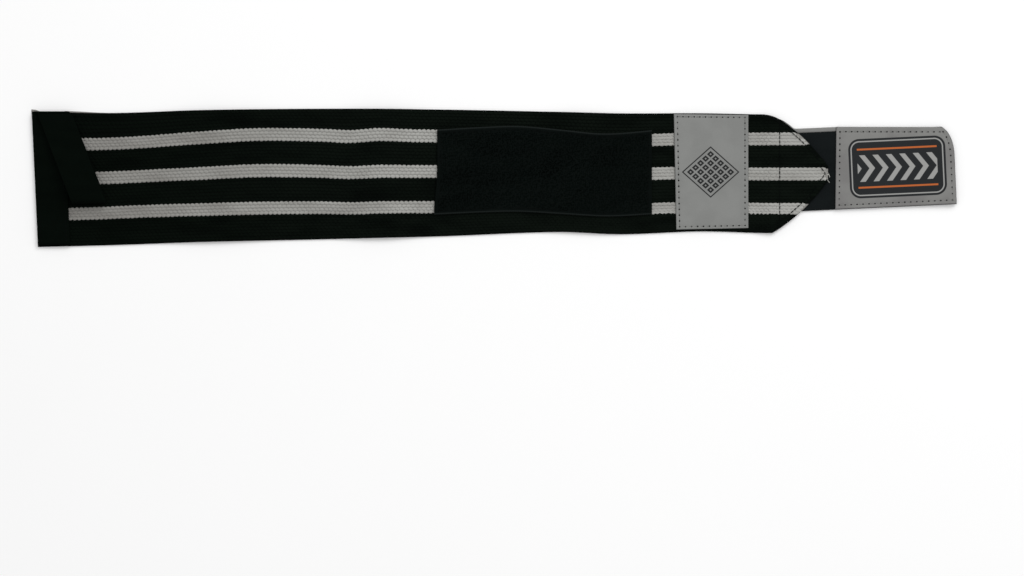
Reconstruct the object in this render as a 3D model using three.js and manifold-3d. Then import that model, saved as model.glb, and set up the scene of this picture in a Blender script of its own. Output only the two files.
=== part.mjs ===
// A wrist wrap of elastic webbing, lying flat with its front face up.
// Millimetres, +Z up. X runs from the square end with the thumb loop to the closure tab,
// and +Y is the side of the band over which the thumb loop folds.

import * as THREE from "three";
import { mergeVertices } from "three/addons/utils/BufferGeometryUtils.js";
import Module from "manifold-3d";

const wasm = await Module();
wasm.setup();

// Elastic band, from its square end to its blunt tip.
const BAND_LENGTH = 510;
const BAND_WIDTH = 80;
const BAND_THICKNESS = 2;
const END_SKEW = 4;
const POINT_LENGTH = 35.5;
const TIP_WIDTH = 9;
const POINT_BOW = 2.5;
const SHOULDER_ROUNDING = 7;
const WAVE_HEIGHT = 2.4;

// Thumb loop, one tape that is sewn across the square end and folded back over the band.
const TAPE_WIDTH = 20.5;
const TAPE_THICKNESS = 1.2;
const TAPE_INSET = 0.5;
const FOLD_OVERHANG = 0.3;
const LOOP_REACH = 59;
const LOOP_OPENING = 4.9;
const LOOP_SEWN_LENGTH = 7;
const LOOP_SEWN_RISE = 1.08;
const LOOP_SLANT = THREE.MathUtils.degToRad(21.7);
const LOOP_SHIFT = 3.6;

// Pile patch on the front, where the closure tab is pressed down.
const PILE_LENGTH = 137.5;
const PILE_WIDTH = 54;
const PILE_THICKNESS = 2;
const PILE_TO_LABEL = 14;

// Leather label across the band.
const LABEL_LENGTH = 47.7;
const LABEL_THICKNESS = 1.2;
const LABEL_TOP_INSET = 0.6;
const LABEL_BOTTOM_INSET = 1.7;
const LABEL_SKEW = 1.2;
const LABEL_LEAN = 1.6;
const LABEL_TO_TIP = 51;

// Closure tab of hook tape under the tip, and the leather cover on its back.
// TAB_CORNER_PULL is the control point of its cut corner, in shares of the corner's two sizes.
const TAB_LENGTH = 115;
const TAB_WIDTH = 50;
const TAB_THICKNESS = 1.7;
const TAB_OVERLAP = 33.6;
const TAB_TURN = THREE.MathUtils.degToRad(2.6);
const TAB_RISE = 0.3;
const TAB_CURL = 1.6;
const TAB_CORNER_ALONG = 7.5;
const TAB_CORNER_ACROSS = 17;
const TAB_CORNER_PULL = { along: 0.1, across: 0.25 };
const COVER_START = 37.2;
const COVER_SKEW = 3;
const COVER_THICKNESS = 1.2;
const COVER_INSET = 0.3;
const COVER_OVERHANG = 3.2;

// Clearances, and the stretch over which the band climbs onto the hook tape.
const LAYER_GAP = 0.3;
const CLIMB_LENGTH = 15;

// Fineness of the facets.
const BAND_STEPS = 72;
const EDGE_STEPS = 24;
const PATCH_STEPS = 20;
const FOLD_STEPS = 6;
const BIGHT_STEPS = 12;
const LEG_STEPS = 14;
const CORNER_STEPS = 6;
const MERGE_DISTANCE = 1e-5;

// Plan of the band: where its middle line and its width lie along its length.
// "along" is a share of BAND_LENGTH, "centre" and "width" are shares of BAND_WIDTH.
const BAND_PLAN = [
  { along: 0.0, centre: -0.014, width: 1.084 },
  { along: 0.1, centre: -0.012, width: 1.058 },
  { along: 0.21, centre: 0.011, width: 1.056 },
  { along: 0.36, centre: 0.028, width: 1.046 },
  { along: 0.51, centre: 0.037, width: 1.016 },
  { along: 0.66, centre: 0.045, width: 0.962 },
  { along: 0.74, centre: 0.03, width: 0.968 },
  { along: 0.84, centre: 0.042, width: 0.946 },
  { along: 0.92, centre: 0.031, width: 0.95 },
  { along: 1.0, centre: 0.031, width: 0.95 },
];

// Low waves in which the band lies: "along" is a share of BAND_LENGTH, "lift" of WAVE_HEIGHT.
const BAND_WAVES = [
  { along: 0.0, lift: 0 },
  { along: 0.14, lift: 0 },
  { along: 0.23, lift: 0.75 },
  { along: 0.33, lift: 0 },
  { along: 0.37, lift: 0 },
  { along: 0.44, lift: 1 },
  { along: 0.51, lift: 0 },
  { along: 0.63, lift: 0 },
  { along: 0.69, lift: 0.55 },
  { along: 0.76, lift: 0 },
  { along: 1.0, lift: 0 },
];

// Plan of the pile patch, pulled wavy by its seam.
// "along" is a share of PILE_LENGTH, "centre" and "width" are shares of PILE_WIDTH.
const PILE_PLAN = [
  { along: 0.0, centre: 0.009, width: 1.011 },
  { along: 0.2, centre: 0.03, width: 1.015 },
  { along: 0.38, centre: 0.036, width: 1.02 },
  { along: 0.6, centre: -0.004, width: 1.0 },
  { along: 0.76, centre: -0.02, width: 0.985 },
  { along: 1.0, centre: 0.012, width: 1.0 },
];

const clamp = THREE.MathUtils.clamp;
const smoothstep = THREE.MathUtils.smoothstep;

// Index of the row that starts the interval in which a share lies.
function rowBefore(rows, share) {
  const next = rows.findIndex((row) => row.along > share);
  return next < 0 ? rows.length - 2 : Math.max(next - 1, 0);
}

// Value of a column on a smooth curve through all rows.
function smoothColumn(rows, column, share) {
  const index = rowBefore(rows, share);
  const slope = (at) => {
    const before = rows[Math.max(at - 1, 0)];
    const after = rows[Math.min(at + 1, rows.length - 1)];
    return (after[column] - before[column]) / (after.along - before.along);
  };
  const start = rows[index];
  const end = rows[index + 1];
  const span = end.along - start.along;
  const t = clamp((share - start.along) / span, 0, 1);
  const curve = new THREE.CubicBezierCurve(
    new THREE.Vector2(0, start[column]),
    new THREE.Vector2(1 / 3, start[column] + (slope(index) * span) / 3),
    new THREE.Vector2(2 / 3, end[column] - (slope(index + 1) * span) / 3),
    new THREE.Vector2(1, end[column]),
  );
  return curve.getPoint(t).y;
}

// Value of a column that eases from row to row and stays flat between equal rows.
function easedColumn(rows, column, share) {
  const index = rowBefore(rows, share);
  const start = rows[index];
  const end = rows[index + 1];
  return THREE.MathUtils.lerp(start[column], end[column], smoothstep(share, start.along, end.along));
}

// Where the parts lie along the band.
const tabStart = BAND_LENGTH - TAB_OVERLAP;
const labelEnd = BAND_LENGTH - LABEL_TO_TIP;
const labelStart = labelEnd - LABEL_LENGTH;
const pileEnd = labelStart - PILE_TO_LABEL;
const pileStart = pileEnd - PILE_LENGTH;

function bandCentre(x) {
  return BAND_WIDTH * smoothColumn(BAND_PLAN, "centre", x / BAND_LENGTH);
}

function bandHalfWidth(x) {
  return (BAND_WIDTH * smoothColumn(BAND_PLAN, "width", x / BAND_LENGTH)) / 2;
}

function bandTopEdge(x) {
  return bandCentre(x) + bandHalfWidth(x);
}

function bandBottomEdge(x) {
  return bandCentre(x) - bandHalfWidth(x);
}

// Height of the band's underside: its low waves, and the climb onto the hook tape.
function bandUnderside(x) {
  const wave = WAVE_HEIGHT * easedColumn(BAND_WAVES, "lift", x / BAND_LENGTH);
  const climbEnd = tabStart - LAYER_GAP;
  const climb = (TAB_THICKNESS + LAYER_GAP) * smoothstep(x, climbEnd - CLIMB_LENGTH, climbEnd);
  return wave + climb;
}

function bandTopFace(x) {
  return bandUnderside(x) + BAND_THICKNESS;
}

// Height of the hook tape's underside at a distance from its inner end.
function tabUnderside(u) {
  const free = TAB_LENGTH - TAB_OVERLAP;
  return TAB_CURL * Math.pow(clamp((u - TAB_OVERLAP - free / 2) / (free / 2), 0, 1), 2);
}

// Evenly spaced numbers, both ends included.
function spaced(from, to, steps) {
  return Array.from({ length: steps + 1 }, (_, i) => from + ((to - from) * i) / steps);
}

function solidOf(geometry) {
  const bare = geometry.clone();
  bare.deleteAttribute("normal");
  bare.deleteAttribute("uv");
  const merged = mergeVertices(bare, MERGE_DISTANCE);
  return new wasm.Manifold(
    new wasm.Mesh({
      numProp: 3,
      vertProperties: new Float32Array(merged.getAttribute("position").array),
      triVerts: new Uint32Array(merged.getIndex().array),
    }),
  );
}

// A closed plan outline, pulled straight up from below the floor to above every layer.
function planPrism(outline, height) {
  const geometry = new THREE.ExtrudeGeometry(new THREE.Shape(outline), {
    depth: 2 * height,
    bevelEnabled: false,
  });
  geometry.translate(0, 0, -height);
  return solidOf(geometry);
}

// A layer of even thickness whose underside follows a height function along X.
function layerAlongX(stations, underside, thickness, reach) {
  const under = stations.map((x) => new THREE.Vector2(x, underside(x)));
  const over = stations.map((x) => new THREE.Vector2(x, underside(x) + thickness)).reverse();
  const geometry = new THREE.ExtrudeGeometry(new THREE.Shape([...under, ...over]), {
    depth: 2 * reach,
    bevelEnabled: false,
  });
  geometry.rotateX(Math.PI / 2);
  geometry.translate(0, reach, 0);
  return solidOf(geometry);
}

// A ribbon of even thickness along a centre line drawn in Y and Z, and pulled along X.
function ribbonAcrossX(centreLine, thickness, reach) {
  const sides = [1, -1].map((side) =>
    centreLine.map((point, i) => {
      const before = centreLine[Math.max(i - 1, 0)];
      const after = centreLine[Math.min(i + 1, centreLine.length - 1)];
      const along = after.clone().sub(before).normalize();
      return new THREE.Vector2(-along.y, along.x).multiplyScalar((side * thickness) / 2).add(point);
    }),
  );
  const shape = new THREE.Shape([...sides[0], ...sides[1].reverse()]);
  const geometry = new THREE.ExtrudeGeometry(shape, { depth: 2 * reach, bevelEnabled: false });
  const axes = new THREE.Matrix4().makeBasis(
    new THREE.Vector3(0, 1, 0),
    new THREE.Vector3(0, 0, 1),
    new THREE.Vector3(1, 0, 0),
  );
  geometry.applyMatrix4(axes);
  geometry.translate(-reach, 0, 0);
  return solidOf(geometry);
}

// Half a turn in Y and Z about a centre, from below it to above it. "side" is the Y side that it bulges to.
function halfTurn(centreY, lowZ, radius, side, steps) {
  return spaced(-Math.PI / 2, Math.PI / 2, steps).map(
    (angle) =>
      new THREE.Vector2(centreY + side * radius * Math.cos(angle), lowZ + radius + radius * Math.sin(angle)),
  );
}

// A cut edge of the pointed end, from a shoulder to the tip, that bows outwards.
function bowedCut(shoulder, tip, side) {
  const along = tip.clone().sub(shoulder).normalize();
  const outwards = new THREE.Vector2(-along.y, along.x).multiplyScalar(side);
  const middle = shoulder.clone().add(tip).multiplyScalar(0.5);
  return new THREE.QuadraticBezierCurve(shoulder, middle.addScaledVector(outwards, 2 * POINT_BOW), tip);
}

// Outline of the elastic band: square end on the left, pointed end on the right.
function bandOutline() {
  const shoulder = BAND_LENGTH - POINT_LENGTH;
  const tipCentre = bandCentre(BAND_LENGTH);
  const upperShoulder = new THREE.Vector2(shoulder, bandTopEdge(shoulder));
  const lowerShoulder = new THREE.Vector2(shoulder, bandBottomEdge(shoulder));
  const upperCut = bowedCut(upperShoulder, new THREE.Vector2(BAND_LENGTH, tipCentre + TIP_WIDTH / 2), 1);
  const lowerCut = bowedCut(lowerShoulder, new THREE.Vector2(BAND_LENGTH, tipCentre - TIP_WIDTH / 2), -1);
  const roundStart = shoulder - SHOULDER_ROUNDING;
  const roundShare = SHOULDER_ROUNDING / upperCut.getLength();
  const rounding = new THREE.QuadraticBezierCurve(
    new THREE.Vector2(roundStart, bandTopEdge(roundStart)),
    upperShoulder,
    upperCut.getPointAt(roundShare),
  );
  const top = spaced(0, roundStart, EDGE_STEPS).map((x) => new THREE.Vector2(x, bandTopEdge(x)));
  const upper = spaced(roundShare, 1, CORNER_STEPS).map((share) => upperCut.getPointAt(share));
  const lower = lowerCut.getPoints(CORNER_STEPS).reverse();
  const bottom = spaced(shoulder, END_SKEW, EDGE_STEPS).map((x) => new THREE.Vector2(x, bandBottomEdge(x)));
  return [...top, ...rounding.getPoints(CORNER_STEPS).slice(1), ...upper.slice(1), ...lower, ...bottom.slice(1)];
}

function elasticBand() {
  const stations = spaced(0, BAND_LENGTH, BAND_STEPS);
  const layer = layerAlongX(stations, bandUnderside, BAND_THICKNESS, BAND_WIDTH);
  return layer.intersect(planPrism(bandOutline(), BAND_WIDTH));
}

// The tape across the square end, and the loop that folds over it and lies slanted on the band.
function thumbLoop() {
  const lean = END_SKEW / (bandTopEdge(0) - bandBottomEdge(0));
  const endLine = (y) => TAPE_INSET + lean * (bandTopEdge(0) - y);
  const foldReach = bandTopEdge(TAPE_WIDTH / 2) + FOLD_OVERHANG;
  const bottomEdge = bandBottomEdge(TAPE_WIDTH / 2) + LAYER_GAP;
  const tapeMiddle = bandTopFace(0) + LAYER_GAP + TAPE_THICKNESS / 2;
  const foldRadius = (TAPE_THICKNESS + LAYER_GAP) / 2;
  const foldCentre = foldReach - foldRadius - TAPE_THICKNESS / 2;
  const legMiddle = tapeMiddle + 2 * foldRadius;
  const bightRadius = (LOOP_OPENING + TAPE_THICKNESS) / 2;
  const bightCentre = foldReach - LOOP_REACH + bightRadius + TAPE_THICKNESS / 2;
  const sewnEnd = foldCentre - LOOP_SEWN_LENGTH;

  const endTape = ribbonAcrossX(
    [new THREE.Vector2(bottomEdge, tapeMiddle), new THREE.Vector2(foldCentre, tapeMiddle)],
    TAPE_THICKNESS,
    BAND_WIDTH,
  ).intersect(
    planPrism(
      [
        new THREE.Vector2(endLine(foldReach), foldReach),
        new THREE.Vector2(endLine(bottomEdge), bottomEdge),
        new THREE.Vector2(endLine(bottomEdge) + TAPE_WIDTH, bottomEdge),
        new THREE.Vector2(endLine(foldReach) + TAPE_WIDTH, foldReach),
      ],
      BAND_WIDTH,
    ),
  );

  const lowerLeg = ribbonAcrossX(
    [
      ...halfTurn(foldCentre, tapeMiddle, foldRadius, 1, FOLD_STEPS),
      ...spaced(sewnEnd, bightCentre, 2).map((y) => new THREE.Vector2(y, legMiddle)).slice(0, -1),
      ...halfTurn(bightCentre, legMiddle, bightRadius, -1, BIGHT_STEPS),
    ],
    TAPE_THICKNESS,
    BAND_WIDTH,
  );
  const upperLeg = ribbonAcrossX(
    [
      ...spaced(0, 1, LEG_STEPS).map((share) => {
        const rise = Math.sin(((1 - share) * Math.PI) / 2);
        return new THREE.Vector2(
          bightCentre + (sewnEnd - bightCentre) * share,
          legMiddle + LOOP_SEWN_RISE + (2 * bightRadius - LOOP_SEWN_RISE) * rise,
        );
      }),
      new THREE.Vector2(foldCentre, legMiddle + LOOP_SEWN_RISE),
    ],
    TAPE_THICKNESS,
    BAND_WIDTH,
  );
  const slantedWidth = TAPE_WIDTH / Math.cos(LOOP_SLANT);
  const legSide = (y) => LOOP_SHIFT + (foldReach - y) * Math.tan(LOOP_SLANT);
  const bightReach = foldReach - LOOP_REACH;
  const legPrism = planPrism(
    [
      new THREE.Vector2(legSide(foldReach), foldReach),
      new THREE.Vector2(legSide(bightReach), bightReach),
      new THREE.Vector2(legSide(bightReach) + slantedWidth, bightReach),
      new THREE.Vector2(legSide(foldReach) + slantedWidth, foldReach),
    ],
    BAND_WIDTH,
  );
  return lowerLeg.add(upperLeg).intersect(legPrism).add(endTape);
}

// The pile patch, which follows the band's top face.
function loopPatch() {
  const stations = spaced(pileStart, pileEnd, PATCH_STEPS);
  const edge = (x, side) => {
    const share = (x - pileStart) / PILE_LENGTH;
    const centre = bandCentre(x) + PILE_WIDTH * smoothColumn(PILE_PLAN, "centre", share);
    return new THREE.Vector2(x, centre + (side * PILE_WIDTH * smoothColumn(PILE_PLAN, "width", share)) / 2);
  };
  const outline = [...stations.map((x) => edge(x, 1)), ...stations.map((x) => edge(x, -1)).reverse()];
  const layer = layerAlongX(stations, (x) => bandTopFace(x) + LAYER_GAP, PILE_THICKNESS, BAND_WIDTH);
  return layer.intersect(planPrism(outline, BAND_WIDTH));
}

// The leather label, from edge to edge of the band.
function labelPatch() {
  const stations = spaced(labelStart, labelEnd, PATCH_STEPS);
  const outline = [
    new THREE.Vector2(labelStart, bandTopEdge(labelStart) - LABEL_TOP_INSET),
    new THREE.Vector2(labelEnd, bandTopEdge(labelEnd) - LABEL_TOP_INSET),
    new THREE.Vector2(labelEnd, bandBottomEdge(labelEnd) + LABEL_BOTTOM_INSET + LABEL_SKEW),
    new THREE.Vector2(labelStart + LABEL_LEAN, bandBottomEdge(labelStart) + LABEL_BOTTOM_INSET),
  ];
  const layer = layerAlongX(stations, (x) => bandTopFace(x) + LAYER_GAP, LABEL_THICKNESS, BAND_WIDTH);
  return layer.intersect(planPrism(outline, BAND_WIDTH));
}

// Outline of the tab from a start along it: one corner of its free end is cut off and rounded.
// "overhang" is how far its upper edge runs out sideways at the start.
function tabOutline(upperStart, lowerStart, inset, overhang) {
  const half = TAB_WIDTH / 2 - inset;
  const end = TAB_LENGTH - inset;
  const corner = new THREE.QuadraticBezierCurve(
    new THREE.Vector2(end - TAB_CORNER_ALONG, half),
    new THREE.Vector2(
      end - TAB_CORNER_ALONG * TAB_CORNER_PULL.along,
      half - TAB_CORNER_ACROSS * TAB_CORNER_PULL.across,
    ),
    new THREE.Vector2(end, half - TAB_CORNER_ACROSS),
  );
  return [
    new THREE.Vector2(upperStart, half + overhang),
    ...corner.getPoints(CORNER_STEPS),
    new THREE.Vector2(end, -half),
    new THREE.Vector2(lowerStart, -half),
  ];
}

// Places a geometry drawn from the tab's inner end under the band's tip.
function placeTab(mesh) {
  mesh.position.set(tabStart, bandCentre(tabStart) + TAB_RISE, 0);
  mesh.rotation.z = TAB_TURN;
  return mesh;
}

function hookTab() {
  const stations = [0, ...spaced(TAB_OVERLAP, TAB_LENGTH, PATCH_STEPS)];
  const layer = layerAlongX(stations, tabUnderside, TAB_THICKNESS, BAND_WIDTH);
  return layer.intersect(planPrism(tabOutline(0, 0, 0, 0), BAND_WIDTH));
}

function tabCover() {
  const stations = spaced(COVER_START, TAB_LENGTH, PATCH_STEPS);
  const underside = (u) => tabUnderside(u) + TAB_THICKNESS + LAYER_GAP;
  const layer = layerAlongX(stations, underside, COVER_THICKNESS, BAND_WIDTH);
  const outline = tabOutline(COVER_START + COVER_SKEW, COVER_START, COVER_INSET, COVER_OVERHANG);
  return layer.intersect(planPrism(outline, BAND_WIDTH));
}

function meshOf(name, solid, look) {
  const result = solid.getMesh();
  const geometry = new THREE.BufferGeometry();
  geometry.setAttribute("position", new THREE.BufferAttribute(new Float32Array(result.vertProperties), 3));
  geometry.setIndex(new THREE.BufferAttribute(new Uint32Array(result.triVerts), 1));
  geometry.computeVertexNormals();
  const mesh = new THREE.Mesh(geometry, new THREE.MeshStandardMaterial({ metalness: 0, ...look }));
  mesh.name = name;
  return mesh;
}

const wrap = new THREE.Group();
wrap.add(
  meshOf("elastic_band", elasticBand(), { color: 0x0a0f0b, roughness: 0.9 }),
  meshOf("thumb_loop", thumbLoop(), { color: 0x070c09, roughness: 0.85 }),
  meshOf("loop_patch", loopPatch(), { color: 0x060b09, roughness: 1 }),
  meshOf("label_patch", labelPatch(), { color: 0x838482, roughness: 0.55 }),
  placeTab(meshOf("hook_tab", hookTab(), { color: 0x15181a, roughness: 0.7 })),
  placeTab(meshOf("tab_patch", tabCover(), { color: 0x7a7977, roughness: 0.55 })),
);

// The origin is on the floor, under the middle of the whole wrap.
wrap.updateMatrixWorld(true);
const middle = new THREE.Box3().setFromObject(wrap, true).getCenter(new THREE.Vector3());
wrap.position.set(-middle.x, -middle.y, 0);

export default wrap;
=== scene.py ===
import logging
import math
from collections.abc import Callable
from dataclasses import dataclass
from enum import Enum

import bpy
import numpy as np
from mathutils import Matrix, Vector


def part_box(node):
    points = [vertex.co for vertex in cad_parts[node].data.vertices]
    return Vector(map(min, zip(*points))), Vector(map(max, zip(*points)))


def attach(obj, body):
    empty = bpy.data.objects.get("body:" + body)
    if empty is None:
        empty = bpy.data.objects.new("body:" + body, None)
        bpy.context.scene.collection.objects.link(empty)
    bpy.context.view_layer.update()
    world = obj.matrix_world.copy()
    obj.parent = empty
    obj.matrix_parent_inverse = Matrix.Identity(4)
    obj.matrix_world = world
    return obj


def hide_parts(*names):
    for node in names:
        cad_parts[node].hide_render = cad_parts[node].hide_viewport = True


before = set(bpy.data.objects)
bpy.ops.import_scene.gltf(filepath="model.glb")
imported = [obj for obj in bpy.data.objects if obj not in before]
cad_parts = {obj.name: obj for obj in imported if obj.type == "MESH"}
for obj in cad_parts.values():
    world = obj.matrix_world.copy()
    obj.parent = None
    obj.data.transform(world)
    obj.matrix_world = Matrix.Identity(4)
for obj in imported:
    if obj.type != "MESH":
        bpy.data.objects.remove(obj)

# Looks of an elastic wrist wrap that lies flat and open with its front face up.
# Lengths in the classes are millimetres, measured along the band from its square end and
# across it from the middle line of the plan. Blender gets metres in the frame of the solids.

Array = np.ndarray
Colour = tuple[float, float, float]
Tree = bpy.types.NodeTree
Material = bpy.types.Material
Piece = bpy.types.Object

MM = 0.001
BODY = "root"
CLOTH_MAP = "cloth"
FREE = "free"
FRONT_SPAN = 0.48
FRAME_WIDTH_PX = 1024
FRAME_HEIGHT_PX = 576
MM_PER_PX = 0.64
CENTRE_PX = (494.0, 177.7)

FLOAT = "NodeSocketFloat"
VECTOR = "NodeSocketVector"
SWITCH = "NodeSocketBool"
ROTATION = "NodeSocketRotation"
GEOMETRY = "NodeSocketGeometry"
MATERIAL = "NodeSocketMaterial"
SOCKET_TYPES = {float: FLOAT, int: "NodeSocketInt", bool: SWITCH, tuple: VECTOR}

log = logging.getLogger("wrist_wrap")

# Plan of the band: share of its length, middle line and width as shares of its width.
BAND_PLAN = np.array([
    (0.0, -0.014, 1.084), (0.1, -0.012, 1.058), (0.21, 0.011, 1.056), (0.36, 0.028, 1.046),
    (0.51, 0.037, 1.016), (0.66, 0.045, 0.962), (0.74, 0.03, 0.968), (0.84, 0.042, 0.946),
    (0.92, 0.031, 0.95), (1.0, 0.031, 0.95),
])

# Low waves of the band: share of its length, share of the wave height.
BAND_WAVES = np.array([
    (0.0, 0.0), (0.14, 0.0), (0.23, 0.75), (0.33, 0.0), (0.37, 0.0), (0.44, 1.0),
    (0.51, 0.0), (0.63, 0.0), (0.69, 0.55), (0.76, 0.0), (1.0, 0.0),
])

# Middles of the three pale stripes: share of the band's length, then shares across it.
STRIPE_PLAN = np.array([
    (0.0, 0.243, 0.497, 0.764), (0.066, 0.237, 0.492, 0.759), (0.137, 0.227, 0.485, 0.7525),
    (0.212, 0.2105, 0.48, 0.7555), (0.287, 0.193, 0.467, 0.7545), (0.362, 0.203, 0.4795, 0.7595),
    (0.4, 0.2145, 0.4925, 0.7695), (0.438, 0.2005, 0.485, 0.767), (0.475, 0.208, 0.4875, 0.7685),
    (0.509, 0.2096, 0.489, 0.7715), (0.53, 0.2106, 0.49, 0.76), (0.62, 0.219, 0.494, 0.765),
    (0.7, 0.2265, 0.498, 0.782),
    (0.782, 0.2225, 0.502, 0.801), (0.914, 0.208, 0.5035, 0.802), (1.0, 0.208, 0.5035, 0.8),
])

# Plan of the pile patch: share of its length, middle line and width as shares of its width.
PILE_PLAN = np.array([
    (0.0, 0.009, 1.011), (0.2, 0.03, 1.015), (0.38, 0.036, 1.02), (0.6, -0.004, 1.0),
    (0.76, -0.02, 0.985), (1.0, 0.012, 1.0),
])


class Side(Enum):
    """Face of a cloth that something grows on."""

    FRONT = 1
    BACK = -1


def smooth_column(rows: Array, column: int, share: Array) -> Array:
    """Reads a column of a table on a smooth curve through all its rows.

    Args:
        rows: Table whose first column holds shares in rising order.
        column: Column to read.
        share: Shares at which it is read.

    Returns:
        The values at those shares.
    """
    at, value = rows[:, 0], rows[:, column]
    slope = np.empty_like(value)
    slope[1:-1] = (value[2:] - value[:-2]) / (at[2:] - at[:-2])
    slope[0] = (value[1] - value[0]) / (at[1] - at[0])
    slope[-1] = (value[-1] - value[-2]) / (at[-1] - at[-2])
    row = np.clip(np.searchsorted(at, share, side="right") - 1, 0, len(at) - 2)
    span = at[row + 1] - at[row]
    t = np.clip((share - at[row]) / span, 0, 1)
    start = (2 * t**3 - 3 * t**2 + 1) * value[row] + (t**3 - 2 * t**2 + t) * span * slope[row]
    end = (3 * t**2 - 2 * t**3) * value[row + 1] + (t**3 - t**2) * span * slope[row + 1]
    return start + end


def eased_column(rows: Array, column: int, share: Array) -> Array:
    """Reads a column that eases from row to row.

    Args:
        rows: Table whose first column holds shares in rising order.
        column: Column to read.
        share: Shares at which it is read.

    Returns:
        The values at those shares.
    """
    row = np.clip(np.searchsorted(rows[:, 0], share, side="right") - 1, 0, len(rows) - 2)
    ease = smooth_ramp(share, rows[row, 0], rows[row + 1, 0])
    return rows[row, column] + (rows[row + 1, column] - rows[row, column]) * ease


def smooth_ramp(value: Array, low: Array, high: Array) -> Array:
    """Rises smoothly from 0 at low to 1 at high.

    Args:
        value: Numbers to place.
        low: Where the ramp starts.
        high: Where it ends.

    Returns:
        The heights on the ramp.
    """
    t = np.clip((value - low) / (high - low), 0, 1)
    return t * t * (3 - 2 * t)


def quadratic(start: Array, control: Array, end: Array, steps: int) -> Array:
    """Points on a curve with one control point.

    Args:
        start: First point.
        control: Control point.
        end: Last point.
        steps: Number of stretches.

    Returns:
        An array of steps + 1 points.
    """
    t = np.linspace(0, 1, steps + 1)[:, None]
    return (1 - t) ** 2 * start + 2 * t * (1 - t) * control + t**2 * end


def graded(length: float, step: float, edge: float) -> Array:
    """Places along a side that lie closer together at its rounded ends.

    Args:
        length: Length of the side.
        step: Distance between places in its middle.
        edge: Length of each rounded end.

    Returns:
        Rising places from 0 to length.
    """
    rim = edge * np.array([0.0, 0.12, 0.45])
    middle = np.linspace(edge, length - edge, max(2, round((length - 2 * edge) / step) + 1))
    return np.concatenate([rim, middle, length - rim[::-1]])


def rounded_half(distance: Array, edge: float, thickness: float) -> Array:
    """Half the thickness of a sheet whose rim is round.

    Args:
        distance: Distance from the rim.
        edge: Width of the rounded rim.
        thickness: Thickness inside it.

    Returns:
        Half thicknesses, 0 on the rim.
    """
    share = np.clip(distance / edge, 0, 1)
    return thickness / 2 * np.sqrt(np.clip(1 - (1 - share) ** 2, 0, 1))


def left_of(line: Array) -> Array:
    """Unit normals to the left of a line in a plane."""
    ahead = np.gradient(line, axis=0)
    ahead /= np.linalg.norm(ahead, axis=1)[:, None]
    return np.stack([-ahead[:, 1], ahead[:, 0]], -1)


def pucker(run: Array, off_seam: Array, pitch: float, depth: float) -> Array:
    """How deep a seam pulls a sheet in.

    Args:
        run: Distance along the seam.
        off_seam: Distance from it.
        pitch: Length of a stitch and its gap.
        depth: Greatest depth.

    Returns:
        The depths.
    """
    pull = 0.65 + 0.35 * np.cos(2 * math.pi * run / pitch)
    return depth * pull * np.exp(-((off_seam / 0.8) ** 2))


def linear(colour: Colour) -> tuple[float, float, float, float]:
    """Turns a screen colour with parts from 0 to 255 into Blender's linear colour.

    Args:
        colour: Red, green and blue.

    Returns:
        The linear colour with an alpha of 1.
    """
    parts = [c / 255 for c in colour]
    return (*[c / 12.92 if c <= 0.04045 else ((c + 0.055) / 1.055) ** 2.4 for c in parts], 1.0)


def math_step(operation: str) -> Callable:
    """Makes an operator that adds one Math node."""
    return lambda self, *others: self.graph.math(operation, self, *others)


class Value:
    """A node's result: operators add Math nodes, and square brackets give the node's other results."""

    def __init__(self, graph: "Graph", node: bpy.types.Node, key: int | str = 0) -> None:
        """Holds one result of the node."""
        self.graph, self.node, self.socket = graph, node, node.outputs[key]

    def __getitem__(self, key: int | str) -> "Value":
        """Another result of the same node."""
        return Value(self.graph, self.node, key)

    def __rsub__(self, number: float) -> "Value":
        """A number less this value."""
        return self.graph.math("SUBTRACT", number, self)

    __add__ = math_step("ADD")
    __sub__ = math_step("SUBTRACT")
    __mul__ = math_step("MULTIPLY")
    __truediv__ = math_step("DIVIDE")
    __mod__ = math_step("FLOORED_MODULO")
    __abs__ = math_step("ABSOLUTE")


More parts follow.
